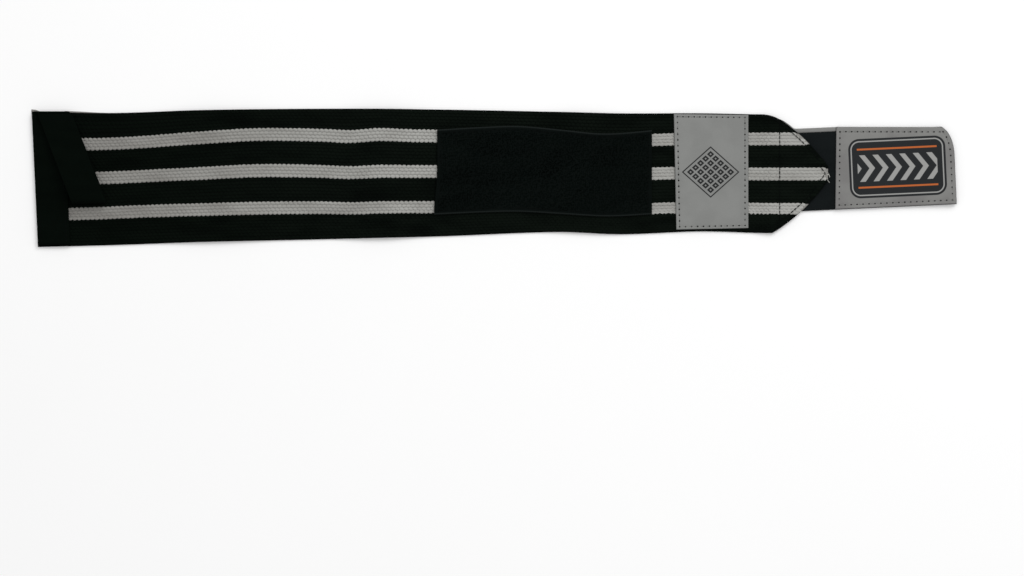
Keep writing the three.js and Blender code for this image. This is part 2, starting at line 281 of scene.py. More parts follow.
class Graph:
    """Short way to add and join the nodes of one tree."""

    def __init__(self, tree: Tree) -> None:
        """Starts on a tree."""
        self.tree = tree

    @classmethod
    def group(
        cls, name: str, inputs: dict[str, object], outputs: dict[str, str], kind: str = "ShaderNodeTree"
    ) -> "Graph":
        """Makes a node group with named sockets.

        Args:
            name: Its name.
            inputs: Default value, or socket type where it has none, for each input's name.
            outputs: Socket type for each output's name.
            kind: Type of the tree.

        Returns:
            A graph on the new group.
        """
        tree = bpy.data.node_groups.new(name, kind)
        for label, value in inputs.items():
            socket = value if isinstance(value, str) else SOCKET_TYPES[type(value)]
            made = tree.interface.new_socket(name=label, in_out="INPUT", socket_type=socket)
            if not isinstance(value, str):
                made.default_value = value
        for label, socket in outputs.items():
            tree.interface.new_socket(name=label, in_out="OUTPUT", socket_type=socket)
        graph = cls(tree)
        graph.entry = Value(graph, tree.nodes.new("NodeGroupInput"))
        graph.exit = tree.nodes.new("NodeGroupOutput")
        return graph

    def add(self, kind: str, inputs: dict | None = None, **settings: object) -> Value:
        """Adds a node.

        Args:
            kind: Its type.
            inputs: A number or another node's result for each input's name or number.
            **settings: The node's own properties.

        Returns:
            Its first result.
        """
        node = self.tree.nodes.new(kind)
        for key, value in settings.items():
            setattr(node, key, value)
        for key, value in (inputs or {}).items():
            self.feed(node.inputs[key], value)
        return Value(self, node)

    def feed(self, socket: bpy.types.NodeSocket, value: object) -> None:
        """Links a socket to a node's result, or else sets it."""
        if isinstance(value, Value):
            self.tree.links.new(value.socket, socket)
        else:
            socket.default_value = value

    def math(self, operation: str, *values: object) -> Value:
        """Adds a Math node."""
        return self.add("ShaderNodeMath", dict(enumerate(values)), operation=operation)

    def vector_math(self, operation: str, first: Value, second: Value) -> Value:
        """Adds a Vector Math node."""
        return self.add("ShaderNodeVectorMath", {0: first, 1: second}, operation=operation)

    def combine(self, *parts: object) -> Value:
        """Makes a vector from three numbers."""
        return self.add("ShaderNodeCombineXYZ", dict(enumerate(parts)))

    def split(self, vector: Value) -> tuple[Value, Value]:
        """Returns a vector's first two parts."""
        parts = self.add("ShaderNodeSeparateXYZ", {0: vector})
        return parts[0], parts[1]

    def blend(self, share: object, first: object, second: object) -> Value:
        """Mixes two colours.

        Args:
            share: How much of the second is in the mix.
            first: First colour, as a node's result or as a screen colour.
            second: Second colour.

        Returns:
            The mixed colour.
        """
        first, second = (linear(c) if isinstance(c, tuple) else c for c in (first, second))
        return self.add("ShaderNodeMix", {0: share, 6: first, 7: second}, data_type="RGBA")[2]

    def ramp(self, value: Value, low: object, high: object) -> Value:
        """Smooth mask that is 0 below low and 1 above high, or the other way round."""
        inputs = {"Value": value, "From Min": low, "From Max": high}
        return self.add("ShaderNodeMapRange", inputs, interpolation_type="SMOOTHSTEP")

    def noise(self, vector: Value, scale: object, detail: float, roughness: float = 0.5) -> Value:
        """Adds a noise texture."""
        inputs = {"Vector": vector, "Scale": scale, "Detail": detail, "Roughness": roughness}
        return self.add("ShaderNodeTexNoise", inputs)

    def above(self, value: Value, limit: object) -> Value:
        """Whether a value is greater than a limit."""
        inputs = {0: value, 1: limit}
        return self.add("FunctionNodeCompare", inputs, data_type="FLOAT", operation="GREATER_THAN")

    def logic(self, operation: str, first: Value, second: Value) -> Value:
        """Joins two conditions."""
        return self.add("FunctionNodeBooleanMath", {0: first, 1: second}, operation=operation)

    def read(self, name: str, kind: str = "FLOAT") -> Value:
        """Reads an attribute of the cloth."""
        return self.add("GeometryNodeInputNamedAttribute", {"Name": name}, data_type=kind)

    def facing(self, upright: Value, heading: Value) -> Value:
        """Turn that stands a shape upright and heads it along a line."""
        inputs = {0: upright, 1: heading}
        return self.add("FunctionNodeAxesToRotation", inputs, primary_axis="Z", secondary_axis="X")

    def turned(self, rotation: Value, by: Value) -> Value:
        """Turns a rotation further about its own axes."""
        return self.add("FunctionNodeRotateRotation", {0: rotation, 1: by}, rotation_space="LOCAL")

    def shaped(self, shape: Value, **change: object) -> Value:
        """Turns or scales a shape."""
        return self.add("GeometryNodeTransform", {"Geometry": shape, **change})

    def place(self, tree: Tree, inputs: dict) -> Value:
        """Adds a node group to this tree and sets its inputs."""
        kind = "GeometryNodeGroup" if self.tree.type == "GEOMETRY" else "ShaderNodeGroup"
        return self.add(kind, inputs, node_tree=tree)

    def close(self, results: dict[str, Value]) -> Tree:
        """Links the group's outputs and returns the finished tree."""
        for label, value in results.items():
            self.feed(self.exit.inputs[label], value)
        return self.tree


class Effects:
    """Shader node groups that several finishes share."""

    def __init__(self) -> None:
        """Builds every group once."""
        self.fibres = self._fibres()
        self.grain = self._grain()
        self.weave = self._weave()
        self.handling = self._handling()

    @staticmethod
    def _fibres() -> Tree:
        """Fine fibres that run along X, as a height and a tone."""
        outputs = {"Height": FLOAT, "Tone": FLOAT}
        g = Graph.group("yarn_fibres", {"Vector": VECTOR, "Scale": 2200.0, "Stretch": 0.25}, outputs)
        drawn = g.vector_math("MULTIPLY", g.entry["Vector"], g.combine(g.entry["Stretch"], 1.0, 1.0))
        fine = g.noise(drawn, g.entry["Scale"], 2.0)
        broad = g.noise(drawn, g.entry["Scale"] * 0.07, 1.0)
        return g.close({"Height": fine, "Tone": fine * 0.45 + broad * 0.55})

    @staticmethod
    def _grain() -> Tree:
        """Pebbled grain of synthetic leather, as a height and a tone."""
        outputs = {"Height": FLOAT, "Tone": FLOAT}
        g = Graph.group("leather_grain", {"Vector": VECTOR, "Scale": 1500.0}, outputs)
        vector, scale = g.entry["Vector"], g.entry["Scale"]
        cells = g.add("ShaderNodeTexVoronoi", {"Vector": vector, "Scale": scale, "Randomness": 0.9})
        pebble = g.ramp(cells["Distance"], 0.65, 0.1)
        creases = g.noise(vector, scale * 0.12, 3.0)
        cloud = g.noise(vector, scale * 0.03, 2.0)
        return g.close({"Height": pebble * 0.6 + creases * 0.7, "Tone": cloud})

    @staticmethod
    def _weave() -> Tree:
        """Plain weave of tapes: yarns that go over and under each other, by the cloth's own map in mm, with a
        mask of painted shade between the yarns.
        """
        inputs = {"Along": 0.0, "Across": 0.0, "Pitch Along": 0.9, "Pitch Across": 0.7}
        g = Graph.group("plain_weave", inputs, {"Height": FLOAT, "Gap": FLOAT})
        along, across = (
            g.math("SINE", g.entry[way] / g.entry[f"Pitch {way}"] * math.pi) for way in ("Along", "Across")
        )
        over = g.ramp(along * across, -0.2, 0.2)
        warp, weft = abs(across), abs(along)
        # Painted shade in the gaps between the yarns.
        gap_shade = g.ramp(g.math("MAXIMUM", warp, weft), 0.55, 0.2)
        return g.close({"Height": warp * over + weft * (1.0 - over), "Gap": gap_shade})

    @staticmethod
    def _handling() -> Tree:
        """Faint, broad unevenness that handling leaves on cloth and leather, as a tone."""
        g = Graph.group("handling", {"Vector": VECTOR, "Size": 18.0}, {"Tone": FLOAT})
        broad = g.noise(g.entry["Vector"], g.entry["Size"], 4.0, 0.55)
        return g.close({"Tone": g.ramp(broad, 0.3, 0.7)})


class Surface(Graph):
    """One material under construction: its graph, its shader and its coordinates."""

    def __init__(self, name: str, roughness: float, gloss: float) -> None:
        """Makes the material and sets what is even over its surface.

        Args:
            name: Name of the material.
            roughness: Roughness of the surface.
            gloss: Specular level.
        """
        self.material = bpy.data.materials.new(name)
        self.material.use_nodes = True
        super().__init__(self.material.node_tree)
        self.shader = self.tree.nodes["Principled BSDF"]
        self.shader.inputs["Roughness"].default_value = roughness
        self.shader.inputs["Specular IOR Level"].default_value = gloss
        self.object_place = self.add("ShaderNodeTexCoord")["Object"]

    def cloth_place(self) -> tuple[Value, Value]:
        """Returns the cloth map's two parts, along and across."""
        return self.split(self.add("ShaderNodeUVMap", uv_map=CLOTH_MAP))

    def effect(self, tree: Tree, **inputs: object) -> Value:
        """Adds a shared effect at the object's own coordinates."""
        return self.place(tree, {"Vector": self.object_place, **inputs})

    def finished(self, colour: Value, height: Value, depth: float, strength: float = 1.0) -> Material:
        """Feeds the shader and returns the material.

        Args:
            colour: Base colour.
            height: Height of the bump, from 0 to 1.
            depth: What 1 stands for, in mm.
            strength: Share of the bump that shows.

        Returns:
            The material.
        """
        inputs = {"Height": height, "Distance": depth * MM, "Strength": strength}
        self.feed(self.shader.inputs["Base Color"], colour)
        self.feed(self.shader.inputs["Normal"], self.add("ShaderNodeBump", inputs))
        return self.material


@dataclass(frozen=True)
class YarnFinish:
    """Spun yarn or sewing thread, fuzzy and a little uneven in tone, with optional painted shade towards the
    band's left end.
    """

    name: str
    colour: Colour
    shade: Colour
    roughness: float = 0.9
    gloss: float = 0.05
    fibre_depth: float = 0.06
    unevenness: float = 0.12
    tones: tuple[float, float] = (0.3, 0.62)
    # Painted shade: how far the yarn darkens towards the left end, where the light falls off; a brownish
    # end_colour adds a soil tint.
    end_shade_and_soil: float = 0.0
    end_colour: Colour = (44, 24, 14)
    end_x: float = -0.33

    def build(self, effects: Effects) -> Material:
        """Makes the material."""
        s = Surface(self.name, self.roughness, self.gloss)
        fibres, worn = s.effect(effects.fibres), s.effect(effects.handling)
        tone = fibres["Tone"] * (1 - self.unevenness) + worn * self.unevenness
        colour = s.blend(s.ramp(tone, *self.tones), self.shade, self.colour)
        # Painted shade of the light falling off towards the left end, with a soil tint where end_colour is
        # brownish.
        if self.end_shade_and_soil:
            shaded_and_soiled = s.ramp(s.split(s.object_place)[0], 0.0, self.end_x) * self.end_shade_and_soil
            colour = s.blend(shaded_and_soiled, colour, self.end_colour)
        return s.finished(colour, fibres["Height"], self.fibre_depth)


@dataclass(frozen=True)
class WebbingFinish:
    """Ground of the elastic webbing: black, with three pale stripes by its ribs."""

    name: str = "webbing_ground"
    ribs: int = 40
    stripe_ribs: int = 4
    stripe_middles: tuple[int, int, int] = (8, 19, 30)
    stripe_rim: tuple[float, float] = (0.25, 0.45)
    black: Colour = (6, 9, 7)
    pale: Colour = (138, 137, 133)
    black_end: tuple[float, float] = (0.0098, 0.0104)
    roughness: float = 0.95
    gloss: float = 0.03
    fibre_scale: float = 1800.0
    fibre_share: float = 0.2
    fibre_depth: float = 0.1

    def build(self, effects: Effects) -> Material:
        """Makes the material."""
        s = Surface(self.name, self.roughness, self.gloss)
        along, across = s.cloth_place()
        rib = s.math("MINIMUM", across, 1.0 - across) * (self.ribs / FRONT_SPAN)
        edges = [self.stripe_ribs / 2 - rim for rim in self.stripe_rim]
        stripes = [s.ramp(abs(rib - float(middle)), *edges) for middle in self.stripe_middles]
        mask = s.math("MAXIMUM", s.math("MAXIMUM", *stripes[:2]), stripes[2]) * s.ramp(along, *self.black_end)
        fibres = s.effect(effects.fibres, Scale=self.fibre_scale)
        ground = s.blend(mask, self.black, self.pale)
        colour = s.blend(fibres["Tone"] * self.fibre_share, ground, self.black)
        return s.finished(colour, fibres["Height"], self.fibre_depth)


@dataclass(frozen=True)
class TapeFinish:
    """Close woven tape, seen by its yarns."""

    name: str
    colour: Colour
    shade: Colour
    length: float
    width: float
    pitch_along: float = 0.8
    pitch_across: float = 0.7
    roughness: float = 0.9
    gloss: float = 0.05
    depth: float = 0.14
    worn_size: float = 30.0
    worn_share: float = 0.15
    selvedge: float = 0.0
    selvedge_colour: Colour = (0, 0, 0)
    back_colour: Colour | None = None

    def build(self, effects: Effects) -> Material:
        """Makes the material."""
        s = Surface(self.name, self.roughness, self.gloss)
        along, across = s.cloth_place()
        over = across * (self.width / FRONT_SPAN)
        pitches = {"Pitch Along": self.pitch_along, "Pitch Across": self.pitch_across}
        weave = s.place(effects.weave, {"Along": along * self.length, "Across": over, **pitches})
        fibres, worn = s.effect(effects.fibres), s.effect(effects.handling, Size=self.worn_size)
        lit = fibres["Tone"] * (1 - self.worn_share) + worn * self.worn_share
        body = s.blend(lit, self.shade, self.colour)
        if self.selvedge:
            inside = s.math("MINIMUM", over, self.width - over)
            body = s.blend(s.ramp(inside, self.selvedge, self.selvedge * 0.4), body, self.selvedge_colour)
        if self.back_colour:
            body = s.blend(s.ramp(across, 0.49, 0.51), body, self.back_colour)
        # Darkens the gaps between the yarns with painted shade.
        colour = s.blend(weave["Gap"], body, self.shade)
        return s.finished(colour, weave["Height"] + fibres["Height"] * 0.25, self.depth)


@dataclass(frozen=True)
class Print:
    """Where a printed motif lies on its leather: middle, half sizes and turn, in mm and degrees."""

    middle: tuple[float, float]
    half_length: float
    half_height: float
    turn: float
    ink: Colour

    def place(self, s: Surface) -> tuple[Value, Value]:
        """Returns the place on the print in mm from its middle, along and across."""
        inputs = {
            "Vector": s.object_place, "Location": (self.middle[0] * MM, self.middle[1] * MM, 0.0),
            "Rotation": (0.0, 0.0, math.radians(self.turn)), "Scale": (MM, MM, MM),
        }
        return s.split(s.add("ShaderNodeMapping", inputs, vector_type="TEXTURE"))


@dataclass(frozen=True)
class LozengePrint(Print):
    """A large rhombus that is filled with a lattice of small lozenges inside a thin line."""

    cells: int = 5
    cell_share: float = 0.37
    eye_share: float = 0.115
    lattice: float = 0.86

    def colours(self, s: Surface, leather: Value) -> Value:
        """Returns the leather's colour with the print on it."""
        x, y = self.place(s)
        p, q = x / self.half_length, y / self.half_height
        outer = abs(p) + abs(q)
        ring = s.ramp(outer, 1.0, 0.985) * s.ramp(outer, 0.925, 0.94)
        middle = 0.5 * (self.cells % 2) + 10
        cells = [way * (self.cells / (2 * self.lattice)) + middle for way in (p + q, p - q)]
        reach = s.math("MAXIMUM", *[abs(s.math("FRACT", cell) - 0.5) for cell in cells])
        lozenge = s.ramp(reach, self.cell_share + 0.02, self.cell_share - 0.02)
        eye = s.ramp(reach, self.eye_share + 0.015, self.eye_share - 0.015)
        filled = (lozenge - eye) * s.ramp(outer, self.lattice + 0.01, self.lattice)
        return s.blend(s.math("MAXIMUM", filled, ring), leather, self.ink)


@dataclass(frozen=True)
class PlatePrint(Print):
    """A dark round-cornered plate with a thin pale border, a row of chevrons and two coloured rules."""

    paper: Colour
    corner: float = 7.0
    border_inset: float = 1.4
    border: float = 0.8
    chevron_pitch: float = 8.6
    chevron_lean: float = 0.75
    chevron_half_height: float = 8.5
    end_inset: float = 5.5
    rule_height: float = 12.2
    rule: Colour = (176, 92, 42)
    soft: float = 0.1

    def colours(self, s: Surface, leather: Value) -> Value:
        """Returns the leather's colour with the print on it."""
        x, y = self.place(s)
        squares = [
            s.math("POWER", s.math("MAXIMUM", abs(way) - (half - self.corner), 0.0), 2.0)
            for way, half in ((x, self.half_length), (y, self.half_height))
        ]
        inside = self.corner - s.math("SQRT", squares[0] + squares[1])

        def rim(value: Value, place: float) -> Value:
            """Soft step up at a place."""
            return s.ramp(value, place - self.soft, place + self.soft)

        def fall(value: Value, place: float) -> Value:
            """Soft step down at a place."""
            return s.ramp(value, place + self.soft, place - self.soft)

        plate = rim(inside, 0.0)
        border = rim(inside, self.border_inset) * fall(inside, self.border_inset + self.border)
        phase = s.math("FRACT", (x + abs(y) * self.chevron_lean) / self.chevron_pitch + 20.1)
        stroke = s.ramp(phase, 0.0, 0.03) * s.ramp(phase, 0.45, 0.42)
        ends = fall(abs(x), self.half_length - self.end_inset)
        chevrons = stroke * fall(abs(y), self.chevron_half_height) * ends
        rules = s.ramp(abs(abs(y) - self.rule_height), 0.65, 0.5)
        inked = s.blend(plate, leather, self.ink)
        marked = s.blend(s.math("MAXIMUM", border, chevrons) * plate, inked, self.paper)
        return s.blend(rules * ends, marked, self.rule)


@dataclass(frozen=True)
class LeatherFinish:
    """Smooth synthetic leather with a fine grain and a print."""

    name: str
    colour: Colour
    shade: Colour
    motif: LozengePrint | PlatePrint
    roughness: float = 0.6
    gloss: float = 0.16
    grain_depth: float = 0.05
    worn_size: float = 45.0

    def build(self, effects: Effects) -> Material:
        """Makes the material."""
        s = Surface(self.name, self.roughness, self.gloss)
        grain, worn = s.effect(effects.grain), s.effect(effects.handling, Size=self.worn_size)
        rim = s.add("ShaderNodeAttribute", attribute_name=FREE)["Fac"]
        tone = (grain["Tone"] + worn) * 0.5
        leather = s.blend(s.ramp(tone, 0.2, 0.75), self.shade, self.colour)
        leather = s.blend(s.ramp(rim, 0.7, 0.05), leather, self.shade)
        return s.finished(self.motif.colours(s, leather), grain["Height"], self.grain_depth)


@dataclass(frozen=True)
class PlainFinish:
    """Plastic, the floor, and the painted shade of needle holes: one colour with faint unevenness."""

    name: str
    colour: Colour
    shade: Colour
    roughness: float = 0.5
    gloss: float = 0.3
    size: float = 60.0

    def build(self, effects: Effects) -> Material:
        """Makes the material."""
        s = Surface(self.name, self.roughness, self.gloss)
        worn = s.effect(effects.handling, Size=self.size)
        return s.finished(s.blend(worn, self.shade, self.colour), worn, 0.02, 0.3)


@dataclass(frozen=True)
class BandShape:
    """Plan and lie of the elastic band."""

    length: float = 510.0
    width: float = 80.0
    thickness: float = 2.0
    end_skew: float = 4.0
    point_length: float = 35.5
    tip_width: float = 9.0
    point_bow: float = 2.5
    shoulder_rounding: float = 7.0
    wave_height: float = 2.4
    tab_overlap: float = 33.6
    tab_thickness: float = 1.7
    layer_gap: float = 0.3
    climb_length: float = 15.0
    plan_shift: float = 0.1457
    ribs: int = 40
    selvedge: float = 0.008
    back_starts: tuple[float, float] = (4.2, 9.5)
    seam_sink: float = 0.27

    @property
    def tab_start(self) -> float:
        """Where the hook tape starts under the band."""
        return self.length - self.tab_overlap

    def end_at(self, y: Array) -> Array:
        """Where the skewed square end lies."""
        return self.end_skew * (self.edge(0.0, 1) - y) / (2 * self.half_width(0.0))

    def back_start(self, y: Array) -> Array:
        """Where the webbing starts on the underside, beside the end tape that shows beyond it."""
        return self.back_starts[0] + (self.back_starts[1] - self.back_starts[0]) * (0.5 - y / self.width)

    def centre(self, x: Array) -> Array:
        """Middle line."""
        return self.width * smooth_column(BAND_PLAN, 1, np.asarray(x) / self.length)

    def half_width(self, x: Array) -> Array:
        """Half the width."""
        return self.width * smooth_column(BAND_PLAN, 2, np.asarray(x) / self.length) / 2

    def edge(self, x: Array, side: int) -> Array:
        """Top or bottom edge, side 1 or -1, as if the band were never cut to a point."""
        return self.centre(x) + side * self.half_width(x)

    def underside(self, x: Array) -> Array:
        """Height of the underside: its low waves, and the climb onto the hook tape."""
        wave = self.wave_height * eased_column(BAND_WAVES, 1, np.asarray(x) / self.length)
        climb_end = self.tab_start - self.layer_gap
        ramp = smooth_ramp(x, climb_end - self.climb_length, climb_end)
        return wave + (self.tab_thickness + self.layer_gap) * ramp

    def top_face(self, x: Array) -> Array:
        """Height of the front face."""
        return self.underside(x) + self.thickness

    def bow(self, side: int) -> Array:
        """Cut edge of the pointed end, from its sharp shoulder to the tip.

        Args:
            side: 1 for the top edge, -1 for the bottom edge.

        Returns:
            Points in the plan.
        """
        shoulder_x = self.length - self.point_length
        shoulder = np.array([shoulder_x, self.edge(shoulder_x, side)])
        tip = np.array([self.length, self.centre(self.length) + side * self.tip_width / 2])
        along = (tip - shoulder) / np.linalg.norm(tip - shoulder)
        outwards = side * np.array([-along[1], along[0]])
        control = (shoulder + tip) / 2 + outwards * 2 * self.point_bow
        return quadratic(shoulder, control, tip, 24)

    def cut(self, side: int) -> Array:
        """Cut edge of the pointed end with the top shoulder rounded.

        Args:
            side: 1 for the top edge, -1 for the bottom edge.

        Returns:
            Points in the plan.
        """
        line = self.bow(side)
        if side < 0:
            return line
        away = np.linalg.norm(line - line[0], axis=1)
        first = int(np.searchsorted(away, self.shoulder_rounding))
        start_x = line[0, 0] - self.shoulder_rounding
        start = np.array([start_x, self.edge(start_x, side)])
        return np.concatenate([quadratic(start, line[0], line[first], 6), line[first + 1:]])

    def outline(self, x: Array, side: int) -> Array:
        """Edge of the cut band.

        Args:
            x: Places along the band.
            side: 1 for the top edge, -1 for the bottom edge.

        Returns:
            Where that edge lies.
        """
        cut = self.cut(side)
        return np.where(x < cut[0, 0], self.edge(x, side), np.interp(x, cut[:, 0], cut[:, 1]))

    def rib_at(self, x: Array, y: Array) -> Array:
        """Rib, counted from the top edge, on which a place lies.

        Args:
            x: Places along the band.
            y: Places across it.

        Returns:
            Ribs as numbers from 0 to the count of ribs.
        """
        share = (self.edge(x, 1) - y) / (2 * self.half_width(x))
        knots = [smooth_column(STRIPE_PLAN, column, x / self.length) for column in (1, 2, 3)]
        first, second, _ = WebbingFinish.stripe_middles
        beside = WebbingFinish.stripe_ribs / 2
        border = knots[0] - (knots[1] - knots[0]) * beside / (second - first)
        places = [np.full_like(x, self.selvedge), border, *knots, np.full_like(x, 1 - self.selvedge)]
        ribs = (0, first - beside, *WebbingFinish.stripe_middles, self.ribs)
        rib = np.zeros_like(share)
        for low, high, start, last in zip(places, places[1:], ribs, ribs[1:]):
            inside = (share >= low) & (share <= high)
            rib = np.where(inside, start + (last - start) * (share - low) / (high - low), rib)
        return np.where(share > 1 - self.selvedge, self.ribs, rib)

    def in_frame(self, x: Array, y: Array, z: Array) -> Array:
        """Turns places on the band into points of the solids' frame, still in mm."""
        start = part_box("elastic_band")[0][0] / MM
        return np.stack(np.broadcast_arrays(x + start, y + self.plan_shift, z), -1)


def link(name: str, data: bpy.types.ID) -> Piece:
    """Puts a new object with this data into the scene."""
    thing = bpy.data.objects.new(name, data)
    bpy.context.scene.collection.objects.link(thing)
    return thing


def settle(piece: Piece, slot: str, stands_for: str | None = None) -> Piece:
    """Fixes a finished piece to the body.

    Args:
        piece: The piece.
        slot: Material slot of the record; not used.
        stands_for: Node of the solids that it replaces, if any.

    Returns:
        The piece.
    """
    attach(piece, BODY)
    if stands_for:
        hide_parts(stands_for)
    log.info("%s: %d faces", piece.name, len(piece.data.polygons))
    return piece


def closed_sheet(
    name: str, faces: list[Array], place: Array, free: list[Array], finish: Material, slot: str,
    stands_for: str | None = None,
) -> Piece:
    """Makes a closed sheet from the points of its two faces, which meet on its rim, and fixes it to the body.

    Args:
        name: Name of the piece.
        faces: Points of the front and of the back face in mm, along and then across.
        place: Along and across as shares, for the cloth's own map.
        free: Distance to the rim on the front and on the back, below 0 where nothing grows.
        finish: Its material.
        slot: Material slot of the record.
        stands_for: Node of the solids that it replaces, if any.

    Returns:
        The piece.
    """
    rows, columns = faces[0].shape[:2]
    front = np.arange(rows * columns).reshape(rows, columns)
    back = front.copy()
    back[1:-1, 1:-1] = rows * columns + np.arange((rows - 2) * (columns - 2)).reshape(rows - 2, columns - 2)

    def quads(index: Array, order: int) -> Array:
        """Corners of the faces between the points of a grid, in rising or falling order."""
        corners = (index[:-1, :-1], index[:-1, 1:], index[1:, 1:], index[1:, :-1])
        return np.stack(corners[::order], -1).reshape(-1, 4)

    points = np.concatenate([faces[0].reshape(-1, 3), faces[1][1:-1, 1:-1].reshape(-1, 3)]) * MM
    mesh = bpy.data.meshes.new(name)
    mesh.from_pydata(points.tolist(), [], np.concatenate([quads(front, 1), quads(back, -1)]).tolist())
    u, v = place[..., 0].ravel(), place[..., 1].ravel() * FRONT_SPAN
    first, second = quads(front, 1).ravel(), quads(front, -1).ravel()
    uv = np.concatenate([np.stack([u[first], v[first]], -1), np.stack([u[second], 1 - v[second]], -1)])
    mesh.uv_layers.new(name=CLOTH_MAP).uv.foreach_set("vector", uv.astype(np.float32).ravel())
    values = np.concatenate([free[0].ravel(), free[1][1:-1, 1:-1].ravel()]).astype(np.float32)
    mesh.attributes.new(FREE, "FLOAT", "POINT").data.foreach_set("value", values)
    mesh.polygons.foreach_set("use_smooth", [True] * len(mesh.polygons))
    mesh.update()
    mesh.materials.append(finish)
    return settle(link(name, mesh), slot, stands_for)


def strip(
    name: str, inner: Array, outer: Array, low: Array, thickness: float, finish: Material, slot: str
) -> Piece:
    """Makes a narrow closed strip between two lines in the plan.

    Args:
        name: Name of the piece.
        inner: Points of its inner line, in mm.
        outer: Points of its outer line, as many.
        low: Height of its underside at each pair of points.
        thickness: Its thickness.
        finish: Its material.
        slot: Material slot of the record.

    Returns:
        The piece.
    """
    inner, outer = inner[:, :2], outer[:, :2]
    shares = np.array([0.0, 0.15, 0.5, 0.85, 1.0])[None, :, None]
    plan = outer[:, None] + (inner - outer)[:, None] * shares
    edge = np.minimum(shares, 1 - shares)[..., 0] * np.linalg.norm(outer - inner, axis=1)[:, None]
    edge[[0, -1]] = 0.0
    half = rounded_half(edge, 0.2, thickness)
    middle = (low + thickness / 2)[:, None]
    faces = [np.concatenate([plan, (middle + side * half)[..., None]], -1) for side in (1, -1)]
    run = np.linspace(0, 1, len(inner))[:, None]
    place = np.stack(np.broadcast_arrays(run, shares[..., 0]), -1)
    return closed_sheet(name, faces, place, [np.full_like(half, 2.0)] * 2, finish, slot)


def grow(name: str, source: bpy.types.Mesh, tree: Tree, values: dict[str, object], slot: str) -> Piece:
    """Runs a geometry tree over a mesh, keeps the result as a plain mesh and fixes it to the body.

    Args:
        name: Name of the new piece.
        source: Mesh that the tree starts from.
        tree: Geometry tree.
        values: Value for each of the tree's named inputs.
        slot: Material slot of the record.

    Returns:
        The new piece.
    """
    piece = link(name, source)
    modifier = piece.modifiers.new("grown", "NODES")
    modifier.node_group = tree
    for item in tree.interface.items_tree:
        if item.item_type == "SOCKET" and item.in_out == "INPUT" and item.name in values:
            modifier[item.identifier] = values[item.name]
    depsgraph = bpy.context.evaluated_depsgraph_get()
    mesh = bpy.data.meshes.new_from_object(piece.evaluated_get(depsgraph), depsgraph=depsgraph)
    piece.modifiers.remove(modifier)
    piece.data = mesh
    mesh.name = name
    return settle(piece, slot)


def grow_on_lines(name: str, lines: list[Array], tree: Tree, values: dict[str, object], slot: str) -> Piece:
    """Runs a geometry tree over a wire of one or more lines.

    Args:
        name: Name of the piece.
        lines: Points of each line, in mm.
        tree: Geometry tree.
        values: Value for each of the tree's named inputs.
        slot: Material slot of the record.

    Returns:
        The piece.
    """
    points, edges = [], []
    for line in lines:
        edges += [(i, i + 1) for i in range(len(points), len(points) + len(line) - 1)]
        points += (line * MM).tolist()
    wire = bpy.data.meshes.new(f"{name}_wire")
    wire.from_pydata(points, edges, [])
    piece = grow(name, wire, tree, values, slot)
    bpy.data.meshes.remove(wire)
    return piece


CLOTH_INPUTS = {
    "Cloth": GEOMETRY, "Along Count": 10, "Across Count": 10, "Across Start": 0.0, "Across End": FRONT_SPAN,
    "Stagger": 0.5, "Clearance": 0.5,
}
SHAPE_INPUTS = {"Length": 1.0, "Width": 1.0, "Height": 1.0, "Seed": 1, "Finish": MATERIAL}


